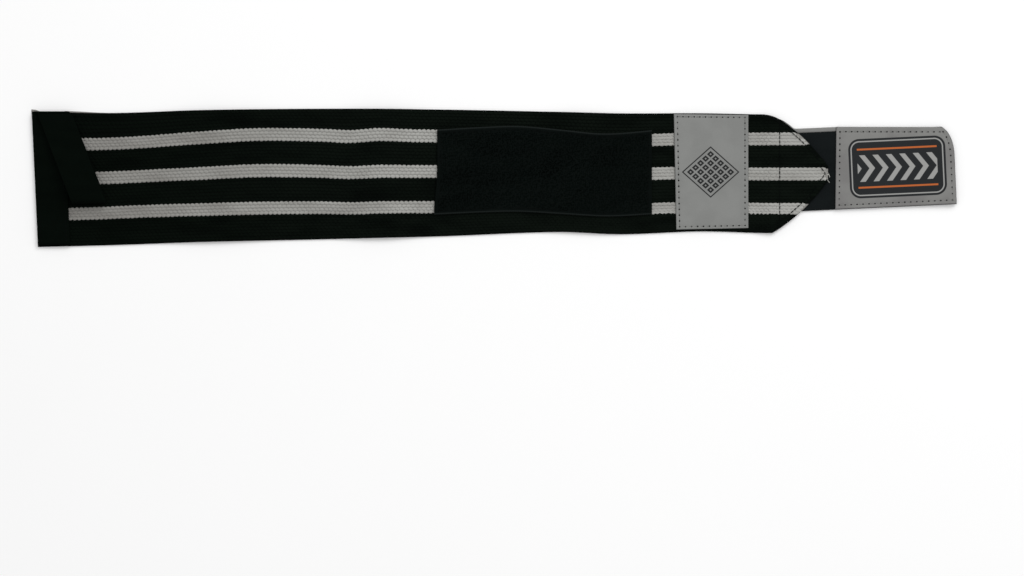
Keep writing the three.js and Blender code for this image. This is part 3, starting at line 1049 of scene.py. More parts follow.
class Growths:
    """Geometry trees for all that repeats: woven stitches, pile, hooks, seams and loose yarns."""

    def __init__(self) -> None:
        """Builds every tree once."""
        self.on_cloth = self._on_cloth()
        self.stitches = self._stitches()
        self.tufts = self._tufts()
        self.hooks = self._hooks()
        self.seam = self._seam()
        self.yarns = self._yarns()

    @staticmethod
    def _on_cloth() -> Tree:
        """Points in staggered rows on one face of a cloth, found through its own map."""
        outputs = {"Points": GEOMETRY, "Keep": SWITCH, "Rotation": ROTATION, "Rib": FLOAT, "Along": FLOAT}
        g = Graph.group("rows_on_cloth", CLOTH_INPUTS, outputs, "GeometryNodeTree")
        e = g.entry
        index = g.add("GeometryNodeInputIndex")
        rib = index % e["Across Count"]
        column = g.math("FLOOR", (index + 0.5) / e["Across Count"])
        u = (column + 0.25 + rib % 2.0 * e["Stagger"]) / e["Along Count"]
        v = e["Across Start"] + (rib + 0.5) / e["Across Count"] * (e["Across End"] - e["Across Start"])
        cloth_map = g.read(CLOTH_MAP, "FLOAT_VECTOR")
        position = g.add("GeometryNodeInputPosition")

        def sample(value: Value, at: Value, kind: str = "FLOAT_VECTOR") -> Value:
            """Reads a value of the cloth at a place on its map."""
            found = g.add("GeometryNodeSampleUVSurface", data_type=kind)
            sockets = [socket for socket in found.node.inputs if socket.enabled]
            for socket, source in zip(sockets, (e["Cloth"], value, cloth_map, g.combine(at, v, 0.0))):
                g.feed(socket, source)
            return found

        here, ahead = (sample(position, at) for at in (u, u + 0.002))
        upright = sample(g.add("GeometryNodeInputNormal"), u)
        room = sample(g.read(FREE), u, "FLOAT")
        points = g.add("GeometryNodePoints", {"Count": e["Along Count"] * e["Across Count"]})
        placed = g.add("GeometryNodeSetPosition", {"Geometry": points, "Position": here})
        valid = g.logic("AND", g.above(room, e["Clearance"]), here[1])
        turn = g.facing(upright, g.vector_math("SUBTRACT", ahead, here))
        keep = g.logic("AND", valid, ahead[1])
        return g.close({"Points": placed, "Keep": keep, "Rotation": turn, "Rib": rib, "Along": u})

    def _on_rows(self, g: Graph) -> Value:
        """Places the rows group in a tree and passes its inputs on."""
        return g.place(self.on_cloth, {name: g.entry[name] for name in CLOTH_INPUTS})

    @staticmethod
    def _tree(name: str, inputs: dict[str, object]) -> Graph:
        """Starts a tree that makes pieces."""
        return Graph.group(name, {**inputs, **SHAPE_INPUTS}, {"Pieces": GEOMETRY}, "GeometryNodeTree")

    @staticmethod
    def _dressed(g: Graph, shapes: Value, finish: Value) -> Value:
        """Makes shapes real and smooth and gives them their finish."""
        smooth = g.add("GeometryNodeSetShadeSmooth", {0: g.add("GeometryNodeRealizeInstances", {0: shapes})})
        return g.add("GeometryNodeSetMaterial", {"Geometry": smooth, "Material": finish})

    def _planted(
        self, g: Graph, points: Value, finish: str = "Finish", keep: object = True, **how: Value
    ) -> Value:
        """Stands a shape on the kept points.

        Args:
            g: Tree under construction.
            points: Where the shapes stand.
            finish: Input that holds their finish.
            keep: Which points are kept.
            **how: The shape as Instance, its Rotation and its Scale.

        Returns:
            The dressed shapes.
        """
        planted = g.add("GeometryNodeInstanceOnPoints", {"Points": points, "Selection": keep, **how})
        return self._dressed(g, planted, g.entry[finish])

    @staticmethod
    def _spread(g: Graph, low: tuple, high: tuple, seed: object = None) -> Value:
        """Random vector for each point between two limits."""
        spread = g.add("FunctionNodeRandomValue", data_type="FLOAT_VECTOR")
        sockets = {socket.name: socket for socket in spread.node.inputs if socket.enabled}
        for key, value in (("Min", low), ("Max", high), ("Seed", g.entry["Seed"] if seed is None else seed)):
            g.feed(sockets[key], value)
        return spread

    @staticmethod
    def _size(g: Graph) -> Value:
        """Half sizes of one shape as a vector."""
        return g.combine(*(g.entry[name] * 0.5 for name in ("Length", "Width", "Height")))

    def _bead(self, g: Graph, rings: int) -> tuple[Value, Value]:
        """A bare ball, and the same one lying along X at the shape's size."""
        ball = g.add("GeometryNodeMeshUVSphere", {"Segments": 6, "Rings": rings, "Radius": 1.0})
        return ball, g.shaped(g.shaped(ball, Rotation=(0.0, math.pi / 2, 0.0)), Scale=self._size(g))

    @staticmethod
    def _wire(g: Graph, line: Value, width: Value, sides: int) -> Value:
        """Round wire along a line."""
        ring = g.add("GeometryNodeCurvePrimitiveCircle", {"Resolution": sides, "Radius": width * 0.5})
        return g.add("GeometryNodeCurveToMesh", {"Curve": line, "Profile Curve": ring, "Fill Caps": True})

    def _stitches(self) -> Tree:
        """Slanted lozenge stitches on the ribs of one colour, longer and flatter where the cloth is tight."""
        g = self._tree("woven_stitches", {
            **CLOTH_INPUTS, "Pale": False, "Slant": 0.2, "Tight Start": 0.7, "Tight End": 0.8,
            "Tight Growth": 0.2, "Tight Loss": 0.5,
        })
        e, rows = g.entry, self._on_rows(g)
        rib = rows["Rib"]
        middles, ribs = WebbingFinish.stripe_middles, WebbingFinish.stripe_ribs
        first = middles[0] - ribs / 2
        phase = rib % float(middles[1] - middles[0])
        late = g.math("GREATER_THAN", phase, first - 0.5)
        early = g.math("LESS_THAN", phase, first + ribs - 0.5)
        inner = g.math("LESS_THAN", rib, float(middles[2] + ribs))
        right = g.logic("XNOR", g.above(late * early * inner, 0.5), e["Pale"])
        slant = (rib % 2.0 * 2.0 - 1.0) * e["Slant"]
        tight = g.ramp(rows["Along"], e["Tight Start"], e["Tight End"])
        drawn = g.combine(tight * e["Tight Growth"] + 1.0, 1.0, 1.0 - tight * e["Tight Loss"])
        spread = self._spread(g, (0.94, 0.9, 0.8), (1.06, 1.08, 1.15))
        return g.close({"Pieces": self._planted(
            g, rows["Points"], keep=g.logic("AND", right, rows["Keep"]), Instance=self._bead(g, 4)[1],
            Rotation=g.turned(rows["Rotation"], g.combine(0.0, 0.0, slant)),
            Scale=g.vector_math("MULTIPLY", spread, drawn),
        )})

    def _tufts(self) -> Tree:
        """Brushed pile: small leaning tufts, strewn evenly."""
        g = self._tree("pile_tufts", {"Cloth": GEOMETRY, "Clearance": 0.5, "Density": 700000.0})
        e = g.entry
        strewn = g.add("GeometryNodeDistributePointsOnFaces", {
            "Mesh": e["Cloth"], "Selection": g.above(g.read(FREE), e["Clearance"]), "Density": e["Density"],
            "Seed": e["Seed"],
        })
        ball = g.add("GeometryNodeMeshIcoSphere", {"Radius": 1.0, "Subdivisions": 1})
        spin = self._spread(g, (-0.5, -0.5, 0.0), (0.5, 0.5, 2 * math.pi), 0)
        return g.close({"Pieces": self._planted(
            g, strewn, Instance=g.shaped(ball, Scale=self._size(g)),
            Rotation=g.turned(strewn["Rotation"], spin),
            Scale=self._spread(g, (0.6, 0.7, 0.6), (1.15, 1.2, 1.3)),
        )})

    def _hooks(self) -> Tree:
        """Rows of small cane-shaped hooks."""
        g = self._tree("tape_hooks", {**CLOTH_INPUTS, "Wire": 0.0002})
        e, rows = g.entry, self._on_rows(g)
        bend = (("Start Handle", 0.0, 1.3), ("End Handle", e["Length"], 1.25), ("End", e["Length"], 0.45))
        handles = {name: g.combine(along, 0.0, e["Height"] * share) for name, along, share in bend}
        segment = {"Resolution": 6, "Start": (0.0, 0.0, 0.0), **handles}
        line = g.add("GeometryNodeCurvePrimitiveBezierSegment", segment)
        return g.close({"Pieces": self._planted(
            g, rows["Points"], keep=rows["Keep"], Instance=self._wire(g, line, e["Wire"], 4),
            Rotation=rows["Rotation"], Scale=self._spread(g, (0.85, 1.0, 0.9), (1.1, 1.0, 1.05)),
        )})

    def _seam(self) -> Tree:
        """Stitches of a seam, with dark flat lenses of painted shade for the needle holes between them."""
        g = self._tree("sewn_line", {
            "Line": GEOMETRY, "Pitch": 0.003, "Hole Size": 0.0, "Up": (0.0, 0.0, 1.0), "Thread": MATERIAL,
        })
        e = g.entry
        curve = g.add("GeometryNodeMeshToCurve", {0: e["Line"]})
        late = g.add("GeometryNodeTrimCurve", {0: curve}, mode="LENGTH")
        for name, value in (("Start", e["Pitch"] * 0.5), ("End", 100.0)):
            g.feed([i for i in late.node.inputs if i.enabled and i.name == name][-1], value)
        ball, thread = self._bead(g, 5)
        wide = e["Hole Size"] * 0.5
        # Dark flat lens that paints the shade inside a needle hole.
        hole_shade_lens = g.shaped(ball, Scale=g.combine(wide, wide * 0.8, e["Hole Size"] * 0.12))
        parts = []
        for line, shape, finish in ((late, thread, "Thread"), (curve, hole_shade_lens, "Finish")):
            spots = g.add("GeometryNodeCurveToPoints", {"Curve": line, "Length": e["Pitch"]}, mode="LENGTH")
            parts.append(self._planted(
                g, spots, finish, Instance=shape, Rotation=g.facing(e["Up"], spots["Tangent"]),
                Scale=self._spread(g, (0.9, 0.9, 0.85), (1.05, 1.1, 1.1)),
            ))
        has_hole_shades = g.above(e["Hole Size"], 0.00001)
        hole_shade_lenses = g.add("GeometryNodeSwitch", {0: has_hole_shades, 2: parts[1]}, input_type="GEOMETRY")
        joined = g.add("GeometryNodeJoinGeometry", {0: hole_shade_lenses})
        g.feed(joined.node.inputs[0], parts[0])
        return g.close({"Pieces": joined})

    def _yarns(self) -> Tree:
        """Loose yarns with a round section along drawn lines."""
        g = self._tree("loose_yarns", {"Line": GEOMETRY})
        wire = self._wire(g, g.add("GeometryNodeMeshToCurve", {0: g.entry["Line"]}), g.entry["Width"], 5)
        return g.close({"Pieces": self._dressed(g, wire, g.entry["Finish"])})


@dataclass(frozen=True)
class Stitch:
    """Sizes of a seam's stitches and needle holes in mm; 0 for no holes. The holes are dark lenses of painted
    shade.
    """

    pitch: float
    length: float
    width: float
    height: float
    hole_size: float = 0.0


class Workshop:
    """Finishes and trees that all sub-assemblies draw on."""

    def __init__(self) -> None:
        """Builds every finish once."""
        self.effects = Effects()
        self.growths = Growths()
        finishes = {
            "webbing": WebbingFinish(),
            # Both yarns darken towards the left end as painted shade of the falling light; the pale yarn's
            # brown end colour also adds soil.
            "black_yarn": YarnFinish(
                "black_yarn", (12, 17, 13), (5, 8, 6), gloss=0.02, end_shade_and_soil=0.5, end_colour=(0, 4, 1),
            ),
            "pale_yarn": YarnFinish("pale_yarn", (166, 166, 162), (146, 145, 141), end_shade_and_soil=0.37),
            "tape": TapeFinish("loop_tape", (9, 15, 11), (3, 6, 4), 205.0, 20.5, gloss=0.015),
            "pile": TapeFinish(
                "pile_ground", (14, 19, 17), (4, 6, 6), 137.5, 54.0, 1.3, 1.1, gloss=0.02,
                selvedge=1.3, selvedge_colour=(28, 32, 31),
            ),
            "tuft": YarnFinish("pile_loops", (7, 12, 10), (2, 4, 3), 1.0, 0.01),
            "hook_tape": TapeFinish(
                "hook_tape_ground", (27, 31, 32), (13, 16, 17), 115.0, 50.0, 0.9, 0.75, gloss=0.03,
                back_colour=(10, 13, 13),
            ),
            "hook": PlainFinish("hook_plastic", (16, 18, 19), (8, 9, 10), 0.45, 0.25),
            "label": LeatherFinish(
                "label_leather", (129, 130, 128), (124, 125, 123),
                LozengePrint((138.6, 3.6), 18.6, 16.6, 0.0, (27, 28, 29)),
            ),
            "cover": LeatherFinish(
                "cover_leather", (124, 124, 122), (115, 114, 113),
                PlatePrint((258.2, 6.85), 31.0, 19.0, 2.6, (25, 28, 30), (148, 148, 146)),
            ),
            "black_thread": YarnFinish("black_thread", (10, 13, 12), (4, 6, 5), 0.9, 0.03),
            "grey_thread": YarnFinish("grey_thread", (128, 128, 126), (96, 96, 94), 0.8, 0.1),
            # Painted shade of the needle holes: dark matte lenses on the leather.
            "needle_hole": PlainFinish("needle_hole", (34, 34, 34), (20, 20, 20), 1.0, 0.0),
            "loose_yarn": YarnFinish("loose_yarn", (196, 196, 190), (150, 150, 145), 0.85, 0.1),
        }
        self.finish = {key: finish.build(self.effects) for key, finish in finishes.items()}

    def sew(
        self, name: str, lines: list[Array], slot: str, thread: str, stitch: Stitch, up: int = 1
    ) -> Piece:
        """Sews seams along lines and fixes them to the body.

        Args:
            name: Name of the piece.
            lines: Points of each seam, in mm.
            slot: Material slot of the record.
            thread: Finish of the thread.
            stitch: Sizes of its stitches.
            up: 1 on a front face, -1 on a back face.

        Returns:
            The piece.
        """
        values = {
            "Pitch": stitch.pitch * MM, "Length": stitch.length * MM, "Width": stitch.width * MM,
            "Height": stitch.height * MM, "Hole Size": stitch.hole_size * MM, "Up": (0.0, 0.0, float(up)),
            "Thread": self.finish[thread], "Finish": self.finish["needle_hole"],
        }
        return grow_on_lines(name, lines, self.growths.seam, values, slot)


@dataclass
class ElasticBand:
    """The elastic webbing band with its woven stitches and pointed end."""

    shop: Workshop
    shape: BandShape
    step: float = 2.5
    rim: float = 0.7
    ground_thickness: float = 1.3
    stitch_pitch: float = 2.85
    stitch_length: float = 3.3
    stitch_width: float = 2.65
    stitch_height: float = 0.36
    stitch_slant: float = 0.15
    tight_span: tuple[float, float] = (0.74, 0.8)
    tight_growth: float = 0.3
    tight_loss: float = 0.6
    cut_margin: float = 1.0
    hidden_margin: float = 4.0
    hidden_halves: tuple[float, float, float] = (25.0, 26.0, 37.0)

    def covered(self, x: Array, y: Array, side: Side) -> Array:
        """Where another layer hides this face, so that no stitches are needed there."""
        margin, (tab_half, *halves) = self.hidden_margin, self.hidden_halves
        off = np.abs(y - self.shape.centre(x)) + margin
        if side is Side.BACK:
            return ((x > self.shape.tab_start + margin) & (off < tab_half)) | (x < self.shape.back_start(y))
        hidden = x < ThumbLoop.inset + ThumbLoop.width - margin
        for layer, half in zip((PilePatch, LeatherLabel), halves):
            hidden |= (x > layer.start + margin) & (x < layer.start + layer.length - margin) & (off < half)
        return hidden

    def build(self) -> Piece:
        """Makes the band's ground and then its stitches."""
        b = self.shape
        along = graded(b.length, self.step, self.rim)
        across = graded(b.width, 2.0, self.rim) / b.width
        x, t = np.meshgrid(along, across, indexing="ij")
        top, bottom = b.outline(x, 1), b.outline(x, -1)
        y = top + (bottom - top) * t
        x = x + b.end_skew * t * np.clip(1 - x / 40, 0, 1)
        end = np.minimum(x - b.end_skew * t, b.length - x)
        slope = np.where(x > b.length - b.point_length, 0.75, 1.0)
        edge = np.minimum(np.minimum(t, 1 - t) * (top - bottom) * slope, end)
        half = rounded_half(np.maximum(edge, 0), self.rim, self.ground_thickness)
        middle = b.underside(x) + b.thickness / 2
        pointed = x > b.length - b.point_length - b.shoulder_rounding
        clear = edge - self.cut_margin * ((end < 3 * self.cut_margin) | pointed)
        free = [np.where(self.covered(x, y, side), -1.0, clear) for side in (Side.FRONT, Side.BACK)]
        place = np.stack([x / b.length, b.rib_at(x, y) / b.ribs], -1)
        faces = [b.in_frame(x, y, z) for z in (middle + half, middle - half)]
        webbing = self.shop.finish["webbing"]
        sheet = closed_sheet("webbing_ground", faces, place, free, webbing, "band_webbing", "elastic_band")
        grown = [self.weave(sheet, side, pale) for side in Side for pale in (False, True)]
        return sheet

    def weave(self, sheet: Piece, side: Side, pale: bool) -> Piece:
        """Weaves the stitches of one colour on one face.

        Args:
            sheet: The band's ground.
            side: Face that they show on.
            pale: Whether they are the stripes' pale ones.

        Returns:
            The piece.
        """
        front = side is Side.FRONT
        values = {
            "Along Count": round(self.shape.length / self.stitch_pitch), "Across Count": self.shape.ribs,
            "Across Start": 0.0 if front else 1.0, "Across End": FRONT_SPAN if front else 1 - FRONT_SPAN,
            "Stagger": 0.5, "Clearance": 0.55,
            "Length": self.stitch_length * MM, "Width": self.stitch_width * MM,
            "Height": self.stitch_height * MM, "Pale": pale, "Slant": self.stitch_slant,
            "Tight Start": self.tight_span[0], "Tight End": self.tight_span[1],
            "Tight Growth": self.tight_growth, "Tight Loss": self.tight_loss,
            "Seed": 3 + side.value + int(pale),
            "Finish": self.shop.finish["pale_yarn" if pale else "black_yarn"],
        }
        name = f"stitches_{side.name.lower()}_{'pale' if pale else 'black'}"
        return grow(name, sheet.data, self.shop.growths.stitches, values, "band_webbing")


@dataclass
class ThumbLoop:
    """One tape: sewn across the square end, folded over the edge and back again as the thumb loop."""

    shop: Workshop
    shape: BandShape
    width: float = 20.5
    thickness: float = 1.2
    inset: float = 0.5
    fold_overhang: float = 0.3
    reach: float = 59.0
    opening: float = 4.9
    sewn_length: float = 7.0
    sewn_rise: float = 1.08
    slant: float = math.radians(21.7)
    shift: float = 3.6
    rim: float = 0.35
    seam_inset: float = 2.2
    seam_top: float = 38.0
    loop_seam: float = 36.6
    stitch: Stitch = Stitch(3.0, 2.3, 0.6, 0.45)
    back_rise: float = 0.2
    back_thickness: float = 0.2

    def path(self) -> tuple[Array, Array, Array]:
        """Middle line of the tape in Y and Z, with its left side and its width along X.

        Returns:
            Points in Y and Z, left sides and widths.
        """
        b = self.shape
        fold_reach = b.edge(self.width / 2, 1) + self.fold_overhang
        low_end = b.edge(self.width / 2, -1) + b.layer_gap
        tape_z = b.thickness + b.layer_gap + self.thickness / 2
        fold_radius = (self.thickness + b.layer_gap) / 2
        fold_y = fold_reach - fold_radius - self.thickness / 2
        leg_z = tape_z + 2 * fold_radius
        bight_radius = (self.opening + self.thickness) / 2
        bight_y = fold_reach - self.reach + bight_radius + self.thickness / 2
        sewn_y = fold_y - self.sewn_length
        rise = self.sewn_rise

        def turn(centre: float, low: float, radius: float, side: int, steps: int) -> Array:
            """Half a circle, from its low end up."""
            angle = np.linspace(-math.pi / 2, math.pi / 2, steps + 1)
            y, z = centre + side * radius * np.cos(angle), low + radius + radius * np.sin(angle)
            return np.stack([y, z], -1)

        end_y = np.linspace(low_end, fold_y, 34)[:-1]
        fold = turn(fold_y, tape_z, fold_radius, 1, 10)
        leg_y = np.linspace(fold_y, bight_y, 30)[1:-1]
        bight = turn(bight_y, leg_z, bight_radius, -1, 20)
        share = np.linspace(0, 1, 30)[1:]
        back_y = bight_y + (sewn_y - bight_y) * share
        back_z = leg_z + rise + (2 * bight_radius - rise) * np.sin((1 - share) * math.pi / 2)
        last_y = np.linspace(sewn_y, fold_y, 5)[1:]
        flat = ((end_y, tape_z), (leg_y, leg_z), (last_y, leg_z + rise))
        end, leg, last = (np.stack([y, np.full_like(y, z)], -1) for y, z in flat)
        line = np.concatenate([end, fold, leg, bight, np.stack([back_y, back_z], -1), last])
        straight = self.inset + b.end_at(line[:, 0])
        slanted = self.shift + (fold_reach - line[:, 0]) * math.tan(self.slant)
        folded = smooth_ramp(np.arange(len(line)), len(end_y), len(end_y) + len(fold))
        left = straight + (slanted - straight) * folded
        width = self.width + (self.width / math.cos(self.slant) - self.width) * folded
        return line, left, width

    def build(self) -> Piece:
        """Makes the tape and the stitches that hold it."""
        line, left, width = self.path()
        normal = left_of(line)
        run = np.concatenate([[0], np.cumsum(np.linalg.norm(np.diff(line, axis=0), axis=1))])
        across = graded(self.width, 1.4, self.rim) / self.width
        ends = np.minimum(run, run[-1] - run)
        edge = np.minimum(np.minimum(across, 1 - across)[None, :] * width[:, None], ends[:, None])
        half = rounded_half(edge, self.rim, self.thickness)
        x = left[:, None] + across[None, :] * width[:, None]
        faces = [
            self.shape.in_frame(x, *(line[:, None, i] + sign * normal[:, None, i] * half for i in (0, 1)))
            for sign in (1, -1)
        ]
        place = np.stack(np.broadcast_arrays((run / run[-1])[:, None], across[None, :]), -1)
        finish = self.shop.finish["tape"]
        tape = closed_sheet("thumb_tape", faces, place, [edge, edge], finish, "loop_tape", "thumb_loop")
        worn = [*self.seams(), self.end_back()]
        float(run[-1]) * MM
        log.info("tape length %.1f mm", run[-1])
        return tape

    def seams(self) -> list[Piece]:
        """Sews the tape down along both its sides and across the folded end."""
        b = self.shape
        y = np.linspace(b.edge(12.0, -1) + 2.5, self.seam_top, 30)
        z = b.thickness + b.layer_gap + self.thickness + 0.05
        insets = (self.seam_inset, self.width - self.seam_inset)
        sides = [b.end_at(y) + self.inset + inset for inset in insets]
        lines = [b.in_frame(x, y, z) for x in sides]
        x = np.linspace(self.shift + 4.5, self.shift + self.width + 1.5, 12)
        high = b.thickness + 2 * b.layer_gap + 2 * self.thickness + self.sewn_rise + 0.02
        lines.append(b.in_frame(x, self.loop_seam, high))
        below = [b.in_frame(sides[1], y, b.underside(sides[1]) + b.seam_sink)]
        return [
            self.shop.sew("tape_seams", lines, "loop_tape", "black_thread", self.stitch),
            self.shop.sew("tape_seam_back", below, "loop_tape", "black_thread", self.stitch, -1),
        ]

    def end_back(self) -> Piece:
        """Lays the tape's outer side that shows beyond the cut webbing on the underside."""
        b = self.shape
        y = np.linspace(b.edge(0.0, 1) - 0.4, b.edge(4.0, -1) + 0.4, 30)
        inner, outer = (b.in_frame(x, y, 0.0) for x in (b.back_start(y), b.end_at(y) + 0.15))
        low = b.underside(b.back_start(y)) + self.back_rise
        thread = self.shop.finish["black_thread"]
        return strip("end_tape_back", inner, outer, low, self.back_thickness, thread, "loop_tape")


@dataclass
class PilePatch:
    """The soft patch of loop pile on which the closure lands."""

    shop: Workshop
    shape: BandShape
    start: float = 259.8
    length: float = 137.5
    width: float = 54.0
    thickness: float = 2.0
    rim: float = 0.6
    selvedge: float = 2.4
    seam_inset: float = 2.6
    corner_lean: float = 2.0
    double_gap: float = 1.9
    tuft: tuple[float, float, float] = (1.5, 0.7, 0.55)
    tuft_density: float = 760000.0
    stitch: Stitch = Stitch(3.4, 2.7, 0.7, 0.5)

    def at(self, s: Array, t: Array) -> tuple[Array, Array]:
        """Turns places on the patch into places on the band.

        Args:
            s: Distance from the patch's left end.
            t: Share of the way from its top edge to its bottom edge.

        Returns:
            Where they lie along the band and across it.
        """
        x = self.start + s - self.corner_lean * smooth_ramp(t, 0.45, 1.0) * np.clip(1 - s / 20, 0, 1)
        share = s / self.length
        centre = self.shape.centre(x) + self.width * smooth_column(PILE_PLAN, 1, share)
        return x, centre + (0.5 - t) * self.width * smooth_column(PILE_PLAN, 2, share)

    def build(self) -> None:
        """Makes the patch, its pile and its seam."""
        b = self.shape
        along = graded(self.length, 1.5, self.rim)
        across = graded(self.width, 1.5, self.rim) / self.width
        s, t = np.meshgrid(along, across, indexing="ij")
        x, y = self.at(s, t)
        edge = np.minimum(np.minimum(s, self.length - s), np.minimum(t, 1 - t) * self.width)
        half = rounded_half(edge, self.rim, self.thickness)
        seam = np.exp(-(((edge - self.seam_inset) / 0.9) ** 2))
        loft = 0.35 * smooth_ramp(edge, 0.0, 5.0)
        sink = (0.45 - loft + 0.3 * seam) * (half > 0.2)
        base = b.top_face(x) + b.layer_gap + self.thickness / 2
        top = base + half - sink
        free = np.where(half > 0.2, edge, -1.0)
        place = np.stack([s / self.length, t], -1)
        faces, bare = [b.in_frame(x, y, z) for z in (top, base - half)], np.full_like(free, -1.0)
        cloth = self.shop.finish["pile"]
        patch = closed_sheet("pile_ground", faces, place, [free, bare], cloth, "pile_cloth", "loop_patch")
        length, width, height = (size * MM for size in self.tuft)
        values = {
            "Density": self.tuft_density, "Clearance": self.selvedge, "Length": length, "Width": width,
            "Height": height, "Seed": 11, "Finish": self.shop.finish["tuft"],
        }
        pile = grow("pile_loops", patch.data, self.shop.growths.tufts, values, "pile_cloth")
        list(self.seams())

    def seams(self) -> list[Piece]:
        """Sews the patch down all round, and shows the same seam on the back of the band."""
        b = self.shape
        along = np.linspace(self.seam_inset, self.length - self.seam_inset, 60)
        across = np.linspace(self.seam_inset, self.width - self.seam_inset, 24) / self.width
        sides = [np.stack(self.at(along, np.full_like(along, t)), -1) for t in across[[0, -1]]]
        ends = [np.stack(self.at(np.full_like(across, s), across), -1) for s in along[[0, -1]]]
        ends.append(ends[-1] - np.array([self.double_gap, 0.0]))
        made = []
        for side, lines in ((Side.FRONT, sides + ends[:2]), (Side.BACK, sides + ends)):
            if side is Side.FRONT:
                height = [b.top_face(line[:, 0]) + b.layer_gap + self.thickness - 0.42 for line in lines]
            else:
                height = [b.underside(line[:, 0]) + b.seam_sink for line in lines]
            points = [b.in_frame(line[:, 0], line[:, 1], z) for line, z in zip(lines, height)]
            name = f"pile_seam_{side.name.lower()}"
            made.append(self.shop.sew(name, points, "pile_cloth", "black_thread", self.stitch, side.value))
        return made


@dataclass
class LeatherLabel:
    """The grey leather label that is sewn on across the band."""

    shop: Workshop
    shape: BandShape
    start: float = 411.3
    length: float = 47.7
    thickness: float = 1.2
    top_inset: float = 0.6
    bottom_inset: float = 1.7
    skew: float = 1.2
    lean: float = 1.6
    rim: float = 0.5
    side_inset: float = 2.2
    end_inset: float = 1.7
    pucker: float = 0.3
    stitch: Stitch = Stitch(3.6, 2.4, 0.6, 0.3, 1.3)
    back_stitch: Stitch = Stitch(3.6, 2.8, 0.6, 0.45)

    def corners(self) -> Array:
        """Corners in the plan: start and end of the top side, then of the bottom side."""
        b = self.shape
        ends = np.array([self.start, self.start + self.length])
        top, bottom = b.edge(ends, 1) - self.top_inset, b.edge(ends, -1) + self.bottom_inset
        return np.array([
            [(ends[0], top[0]), (ends[1], top[1])],
            [(ends[0] + self.lean, bottom[0]), (ends[1], bottom[1] + self.skew)],
        ])

    def height(self) -> float:
        """Its length across the band."""
        return float(self.corners()[0, 0, 1] - self.corners()[1, 0, 1])

    def at(self, s: Array, t: Array) -> tuple[Array, Array]:
        """Place in the plan for shares along and across the label."""
        upper, lower = (start + (end - start) * s[..., None] for start, end in self.corners())
        point = upper + (lower - upper) * t[..., None]
        return point[..., 0], point[..., 1]

    def build(self) -> None:
        """Makes the label and its seam."""
        b = self.shape
        height = self.height()
        along = graded(self.length, 0.6, self.rim) / self.length
        across = graded(height, 0.6, self.rim) / height
        s, t = np.meshgrid(along, across, indexing="ij")
        x, y = self.at(s, t)
        edge_s, edge_t = np.minimum(s, 1 - s) * self.length, np.minimum(t, 1 - t) * height
        edge = np.minimum(edge_s, edge_t)
        half = rounded_half(edge, self.rim, self.thickness)
        run = np.where(edge_s < edge_t, t * height, s * self.length)
        off_seam = np.minimum(edge_s - self.side_inset, edge_t - self.end_inset)
        sink = pucker(run, off_seam, self.stitch.pitch, self.pucker) * (half > 0.3)
        base = b.top_face(x) + b.layer_gap + self.thickness / 2
        faces = [b.in_frame(x, y, z) for z in (base + half - sink, base - half)]
        place, leather = np.stack([s, t], -1), self.shop.finish["label"]
        label = closed_sheet(
            "leather_label", faces, place, [edge, edge], leather, "label_leather", "label_patch"
        )
        self.seams()

    def seams(self) -> list[Piece]:
        """Sews the label down all round, and shows the same seam on the back of the band."""
        b = self.shape
        in_s, in_t = self.side_inset / self.length, self.end_inset / self.height()
        s, t = (np.linspace(inset, 1 - inset, 40) for inset in (in_s, in_t))
        fixed = [np.full_like(s, share) for share in (in_t, 1 - in_s, 1 - in_t, in_s)]
        sides = ((s, fixed[0]), (fixed[1], t), (s[::-1], fixed[2]), (fixed[3], t[::-1]))
        plan = [self.at(*side) for side in sides]
        level = b.layer_gap + self.thickness - 0.12
        front = [b.in_frame(x, y, b.top_face(x) + level) for x, y in plan]
        back = [b.in_frame(x, y, b.underside(x) + b.seam_sink) for x, y in plan]
        return [
            self.shop.sew("label_seam_front", front, "label_leather", "grey_thread", self.stitch),
            self.shop.sew("label_seam_back", back, "label_leather", "black_thread", self.back_stitch, -1),
        ]


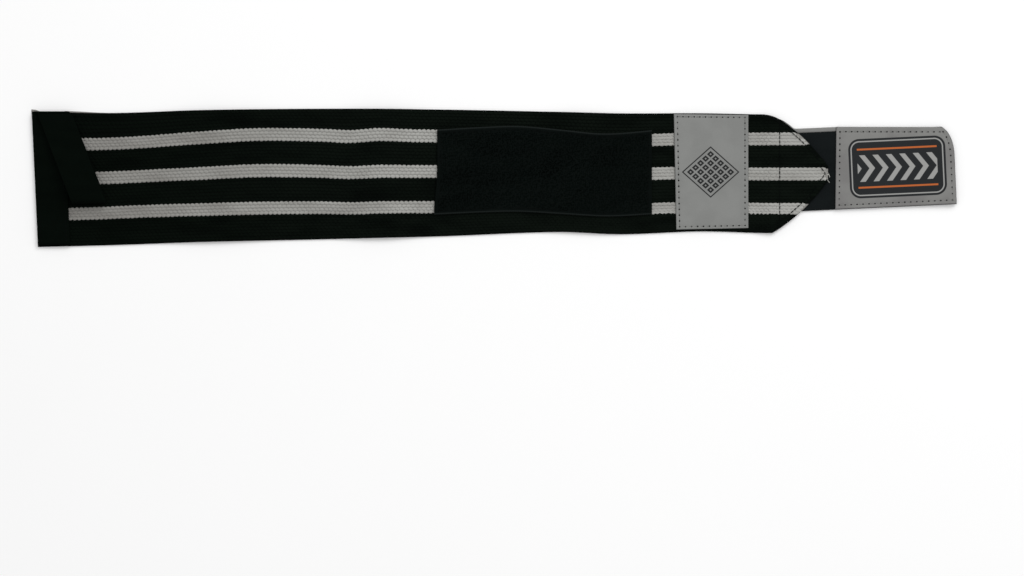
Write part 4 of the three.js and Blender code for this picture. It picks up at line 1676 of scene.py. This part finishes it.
@dataclass
class ClosureTab:
    """The hook tape under the band's tip, and the leather cover on its back."""

    shop: Workshop
    shape: BandShape
    length: float = 115.0
    width: float = 50.0
    tape_thickness: float = 1.7
    hook_height: float = 0.9
    turn: float = math.radians(2.6)
    rise: float = 0.3
    curl: float = 1.6
    corner_along: float = 7.5
    corner_across: float = 17.0
    corner_pull_along: float = 0.1
    corner_pull_across: float = 0.25
    cover_start: float = 37.2
    cover_skew: float = 3.0
    cover_thickness: float = 1.2
    cover_inset: float = 0.3
    cover_overhang: float = 3.2
    rim: float = 0.4
    seam_inset: float = 2.4
    upper_seam_inset: float = 3.1
    stitch: Stitch = Stitch(3.75, 2.5, 0.6, 0.3, 1.3)
    hook_rows: tuple[int, int] = (66, 30)
    hook_clearance: float = 1.6
    hook_reach: float = 0.75
    hook_wire: float = 0.24
    margin_plan: tuple[tuple[float, float], ...] = (
        (3.0, 35.2), (6.9, 33.3), (10.2, 30.8), (13.2, 28.1), (15.3, 27.85), (41.0, 27.85),
    )
    margin_low: float = 0.9
    margin_thickness: float = 0.8
    flare_plans: tuple[tuple[tuple[float, float], ...], ...] = (
        ((0.2, 29.5), (6.0, 29.5), (13.0, 27.4), (16.0, 25.6)),
        ((0.2, 29.5), (6.0, 29.0), (12.0, 26.6), (14.0, 25.6)),
    )
    flare_low: float = 0.3
    flare_thickness: float = 0.5

    def lift(self, u: Array) -> Array:
        """Height of the tab's underside along it: the free end curls up a little."""
        free = self.length - self.shape.tab_overlap
        share = np.clip((u - self.shape.tab_overlap - free / 2) / (free / 2), 0, 1)
        return self.curl * share**2

    def in_frame(self, u: Array, v: Array, z: Array) -> Array:
        """Turns places on the tab into points of the solids' frame, still in mm."""
        b = self.shape
        cos, sin = math.cos(self.turn), math.sin(self.turn)
        x = b.tab_start + u * cos - v * sin
        y = b.centre(b.tab_start) + self.rise + u * sin + v * cos
        return b.in_frame(x, y, z)

    def free_end(self, v: Array, inset: float) -> Array:
        """How far the tab reaches at a place across it: its top corner is cut off and rounded."""
        half, end = self.width / 2 - inset, self.length - inset
        pulls = ((1.0, 0.0), (self.corner_pull_along, self.corner_pull_across), (0.0, 1.0))
        points = [np.array([end - self.corner_along * u, half - self.corner_across * w]) for u, w in pulls]
        curve = quadratic(*points, 24)
        return np.interp(v, curve[::-1, 1], curve[::-1, 0])

    def overhang(self, u: Array) -> Array:
        """How far the cover's upper edge runs out beyond the hook tape."""
        first = self.cover_start + self.cover_skew
        last = self.length - self.cover_inset - self.corner_along
        return self.cover_overhang * np.clip((last - u) / (last - first), 0, 1)

    def sheet(
        self, name: str, start: Array, inset: float, low: float, thickness: float, step: float, sink: float,
        *settled: object,
    ) -> Piece:
        """Makes one layer of the tab.

        Args:
            name: Name of the piece.
            start: Where it starts along the tab at its top and bottom side.
            inset: How far it lies inside the tab's outline.
            low: Height of its underside over the tab's.
            thickness: Its thickness.
            step: Distance between its points.
            sink: How deep its seam pulls it in.
            *settled: Its material, its slot and the node that it replaces.

        Returns:
            The piece.
        """
        width = self.width - 2 * inset
        across = graded(width, step, self.rim)
        along = graded(self.length - start[0], step, self.rim) / (self.length - start[0])
        s, w = np.meshgrid(along, across, indexing="ij")
        v = width / 2 - w
        first = start[0] + (start[1] - start[0]) * w / width
        last = self.free_end(v, inset)
        u = first + (last - first) * s
        if start[0]:
            v = v + self.overhang(u) * (1 - w / width)
        edge_u, edge_v = np.minimum(s, 1 - s) * (last - first), np.minimum(w, width - w)
        edge = np.minimum(edge_u, edge_v)
        half = rounded_half(edge, self.rim, thickness)
        run = np.where(edge_u < edge_v, w, u)
        off_seam = np.minimum(np.minimum(edge_u, width - w) - self.seam_inset, w - self.upper_seam_inset)
        sunk = pucker(run, off_seam, self.stitch.pitch, sink) * (half > 0.3)
        base = self.lift(u) + low + thickness / 2
        place = np.stack([u / self.length, w / width], -1)
        faces = [self.in_frame(u, v, z) for z in (base + half - sunk, base - half)]
        return closed_sheet(name, faces, place, [edge, edge], *settled)

    def build(self) -> None:
        """Makes the hook tape, its hooks, the leather cover and the seams."""
        finish, ground = self.shop.finish, self.tape_thickness - self.hook_height
        tape = self.sheet(
            "hook_tape_ground", (0.0, 0.0), 0.0, self.hook_height, ground, 1.5, 0.0,
            finish["hook_tape"], "hook_tape", "hook_tab",
        )
        values = {
            "Along Count": self.hook_rows[0], "Across Count": self.hook_rows[1], "Across Start": 1.0,
            "Across End": 1 - FRONT_SPAN, "Stagger": 0.5, "Clearance": self.hook_clearance,
            "Length": self.hook_reach * MM, "Height": self.hook_height * 0.84 * MM,
            "Wire": self.hook_wire * MM,
            "Seed": 5, "Finish": finish["hook"],
        }
        hooks = grow("hooks", tape.data, self.shop.growths.hooks, values, "hook_tape")
        thread = (self.flare_low, self.flare_thickness, finish["black_thread"], "hook_tape")
        flares = [
            self.trim(f"tape_flare_{number}", plan, 24, side, -0.2, *thread)
            for number, plan, side in zip((1, 2), self.flare_plans, (1, -1))
        ]
        low = self.tape_thickness + self.shape.layer_gap
        start = (self.cover_start + self.cover_skew, self.cover_start)
        cover = self.sheet(
            "leather_cover", start, self.cover_inset, low, self.cover_thickness, 0.6, 0.3,
            finish["cover"], "cover_leather", "tab_patch",
        )
        seam = self.cover_seam(low + self.cover_thickness)
        leather = (self.margin_low, self.margin_thickness, finish["cover"], "cover_leather")
        margin = self.trim("leather_margin", self.margin_plan, 60, 1, 0.05, *leather)

    def trim(
        self, name: str, plan: tuple, steps: int, side: int, beyond: float, low: float, *rest: object
    ) -> Piece:
        """Lays a strip that shows beside the hook tape.

        Args:
            name: Name of the piece.
            plan: Places along the tab, and how far from its middle line the strip reaches there.
            steps: Number of points along it.
            side: 1 for the top side, -1 for the bottom side.
            beyond: Where it starts, from the tape's edge outwards.
            low: Height of its underside over the tab's.
            *rest: Its thickness, its material and its slot.

        Returns:
            The piece.
        """
        along, reach = np.array(plan).T
        u = np.linspace(along[0], along[-1], steps)
        edges = (np.full_like(u, self.width / 2 + beyond), np.interp(u, along, reach))
        inner, outer = (self.in_frame(u, side * v, 0.0) for v in edges)
        return strip(name, inner, outer, self.lift(u) + low, *rest)

    def cover_seam(self, top: float) -> Piece:
        """Sews the cover onto the hook tape, inside its outline."""
        top_row = self.width / 2 - self.cover_inset - self.upper_seam_inset
        bottom_row = self.cover_inset + self.seam_inset - self.width / 2
        left = self.cover_start + self.seam_inset
        v = np.linspace(top_row, bottom_row, 40)
        right = self.free_end(v, self.cover_inset) - self.seam_inset
        skew = self.cover_skew * (0.5 + v / self.width)
        upper = np.linspace(left + skew[0], right[0] - 2.0, 40)
        lines = [
            (upper, top_row + self.overhang(upper)),
            (right, v),
            (np.linspace(left + skew[-1], right[-1], 40), np.full(40, bottom_row)),
            (left + skew, v + self.overhang(left + skew) * (0.5 + v / self.width)),
        ]
        points = [self.in_frame(u, w, self.lift(u) + top - 0.12) for u, w in lines]
        return self.shop.sew("cover_seam", points, "cover_leather", "grey_thread", self.stitch)


@dataclass
class EndWork:
    """Seams and loose yarns of the pointed end, and the pale edge and frayed yarns of the square end."""

    shop: Workshop
    shape: BandShape
    cut_insets: tuple[float, float] = (2.4, 3.7)
    bar_inset: float = 2.0
    pale_edges: tuple[tuple[tuple[float, float], ...], ...] = (
        ((-0.3, 1.5), (2.6, 1.3), (5.6, 0.1)), ((21.2, 0.95), (32.0, 0.8), (49.0, 0.05)),
    )
    bar_place: float = 479.0
    tip_seam: tuple[tuple[float, float], ...] = ((-4.4, 6.1), (-1.8, 2.2), (-5.0, -1.7))
    stitch: Stitch = Stitch(2.7, 2.6, 0.75, 0.5)
    frayed_at: tuple[float, ...] = (21.0, -0.5, -23.0)
    yarn_width: float = 0.32

    def build(self) -> None:
        """Sews the point down and frays the cut ends."""
        b = self.shape
        lines = [self.inside(b.bow(side), side, inset) for side, inset in zip((1, -1), self.cut_insets)]
        high, low = (b.outline(self.bar_place, side) - side * self.bar_inset for side in (1, -1))
        y = np.linspace(high, low, 50)
        bar = np.stack([np.full_like(y, self.bar_place), y], -1)
        tip = np.array(self.tip_seam) + (b.length, 0.0)
        points = [
            b.in_frame(line[:, 0], line[:, 1], b.top_face(line[:, 0]) + 0.05) for line in (*lines, bar, tip)
        ]
        self.shop.sew("point_seams", points, "band_webbing", "black_thread", self.stitch)
        self.fray()
        for number, plan in enumerate(self.pale_edges, 1):
            self.pale_edge(f"pale_edge_{number}", np.array(plan))

    def pale_edge(self, name: str, plan: Array) -> None:
        """Lays a strip of the pale back cloth that shows beyond the band's top edge.

        Args:
            name: Name of the piece.
            plan: Places along the band and how far it shows there.
        """
        b = self.shape
        x = np.linspace(plan[0, 0], plan[-1, 0], 24)
        edge = b.edge(np.clip(x, 0, None), 1)
        lines = [b.in_frame(x, edge + out, 0.0) for out in (-0.25, np.interp(x, plan[:, 0], plan[:, 1]))]
        strip(name, *lines, np.full_like(x, 0.05), 0.4, self.shop.finish["pale_yarn"], "band_webbing")

    def inside(self, cut: Array, side: int, inset: float) -> Array:
        """Line that runs inside a cut edge."""
        return (cut - side * left_of(cut) * inset)[:-4]

    def fray(self) -> None:
        """Lays short loose yarns at the tip and at the raw square end."""
        b = self.shape
        rng = np.random.default_rng(7)
        lines = []
        raw_end = [(b.back_start(y), y, 0.18, 180.0, 5) for y in self.frayed_at]
        for x, y, z, heading, count in ((b.length - 0.8, -0.2, 3.4, -8.0, 3), *raw_end):
            lines += [self.loose_end(rng, x, y, z, math.radians(heading)) for _ in range(count)]
        values = {"Width": self.yarn_width * MM, "Finish": self.shop.finish["loose_yarn"]}
        grow_on_lines("loose_yarns", lines, self.shop.growths.yarns, values, "band_webbing")

    def loose_end(self, rng: np.random.Generator, x: float, y: float, z: float, heading: float) -> Array:
        """One loose yarn that wanders off a cut edge.

        Args:
            rng: Source of randomness.
            x: Where the edge is along the band.
            y: Middle of the frayed stretch across it.
            z: Height of the yarns.
            heading: Direction in which they leave.

        Returns:
            Its points.
        """
        steps = 7
        angle = heading + rng.uniform(-0.5, 0.5)
        bend = rng.uniform(-0.35, 0.35)
        start = np.array([x, y + rng.uniform(-3.2, 3.2)])
        reach = rng.uniform(1.5, 3.6) / steps
        points = [start]
        for _ in range(steps):
            points.append(points[-1] + reach * np.array([math.cos(angle), math.sin(angle)]))
            angle += bend
        plan = np.array(points)
        return self.shape.in_frame(plan[:, 0], plan[:, 1], np.full(steps + 1, z + rng.uniform(0.0, 0.1)))


@dataclass
class Studio:
    """Pale floor, soft lights and the camera straight above the wrap."""

    lens: float = 110.0
    sensor: float = 36.0
    level: float = 3.0
    floor_size: float = 12.0
    overhead_power: float = 48.0
    key_power: float = 18.0
    world_strength: float = 0.45

    def build(self, effects: Effects) -> None:
        """Sets the floor, the lights and the camera."""
        scene = bpy.context.scene
        scene.view_settings.view_transform = "Standard"
        half = self.floor_size / 2
        mesh = bpy.data.meshes.new("floor")
        corners = [(half * x, half * y, 0) for x, y in ((-1, -1), (1, -1), (1, 1), (-1, 1))]
        mesh.from_pydata(corners, [], [(0, 1, 2, 3)])
        white = PlainFinish("floor", (252, 252, 252), (251, 251, 251), 0.9, 0.05, 2.0)
        mesh.materials.append(white.build(effects))
        link("floor", mesh)
        middle = Vector((
            (FRAME_WIDTH_PX / 2 - CENTRE_PX[0]) * MM_PER_PX * MM,
            (CENTRE_PX[1] - FRAME_HEIGHT_PX / 2) * MM_PER_PX * MM,
            0.0,
        ))
        distance = FRAME_WIDTH_PX * MM_PER_PX * MM * self.lens / self.sensor
        camera = bpy.data.cameras.new("camera")
        camera.lens, camera.sensor_width = self.lens, self.sensor
        camera.clip_start, camera.clip_end = 0.01, 50.0
        scene.camera = link("camera", camera)
        scene.camera.location = middle + Vector((0.0, 0.0, distance + self.level * MM))
        self.softbox("overhead", middle + Vector((0.0, 0.3, 3.2)), 3.4, self.overhead_power, middle)
        self.softbox("key", middle + Vector((0.9, 1.3, 1.7)), 1.1, self.key_power, middle)
        world = bpy.data.worlds.new("studio")
        world.use_nodes = True
        background = world.node_tree.nodes["Background"]
        background.inputs["Color"].default_value = (1.0, 1.0, 1.0, 1.0)
        background.inputs["Strength"].default_value = self.world_strength
        scene.world = world

    @staticmethod
    def softbox(name: str, place: Vector, size: float, power: float, target: Vector) -> None:
        """Hangs one square area light that faces a target.

        Args:
            name: Name of the light.
            place: Where it hangs.
            size: Length of its side in metres.
            power: Power in watts.
            target: Point that it faces.
        """
        light = bpy.data.lights.new(name, "AREA")
        light.size, light.energy = size, power
        lamp = link(name, light)
        lamp.location = place
        lamp.rotation_euler = (target - place).to_track_quat("-Z", "Y").to_euler()


def main() -> None:
    """Builds the wrap piece by piece, then the studio."""
    logging.basicConfig(level=logging.INFO, format="%(name)s: %(message)s")
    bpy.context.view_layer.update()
    shop = Workshop()
    shape = BandShape()
    ClosureTab(shop, shape).build()
    ElasticBand(shop, shape).build()
    PilePatch(shop, shape).build()
    LeatherLabel(shop, shape).build()
    ThumbLoop(shop, shape).build()
    EndWork(shop, shape).build()
    Studio().build(shop.effects)


if __name__ == "__main__":
    main()
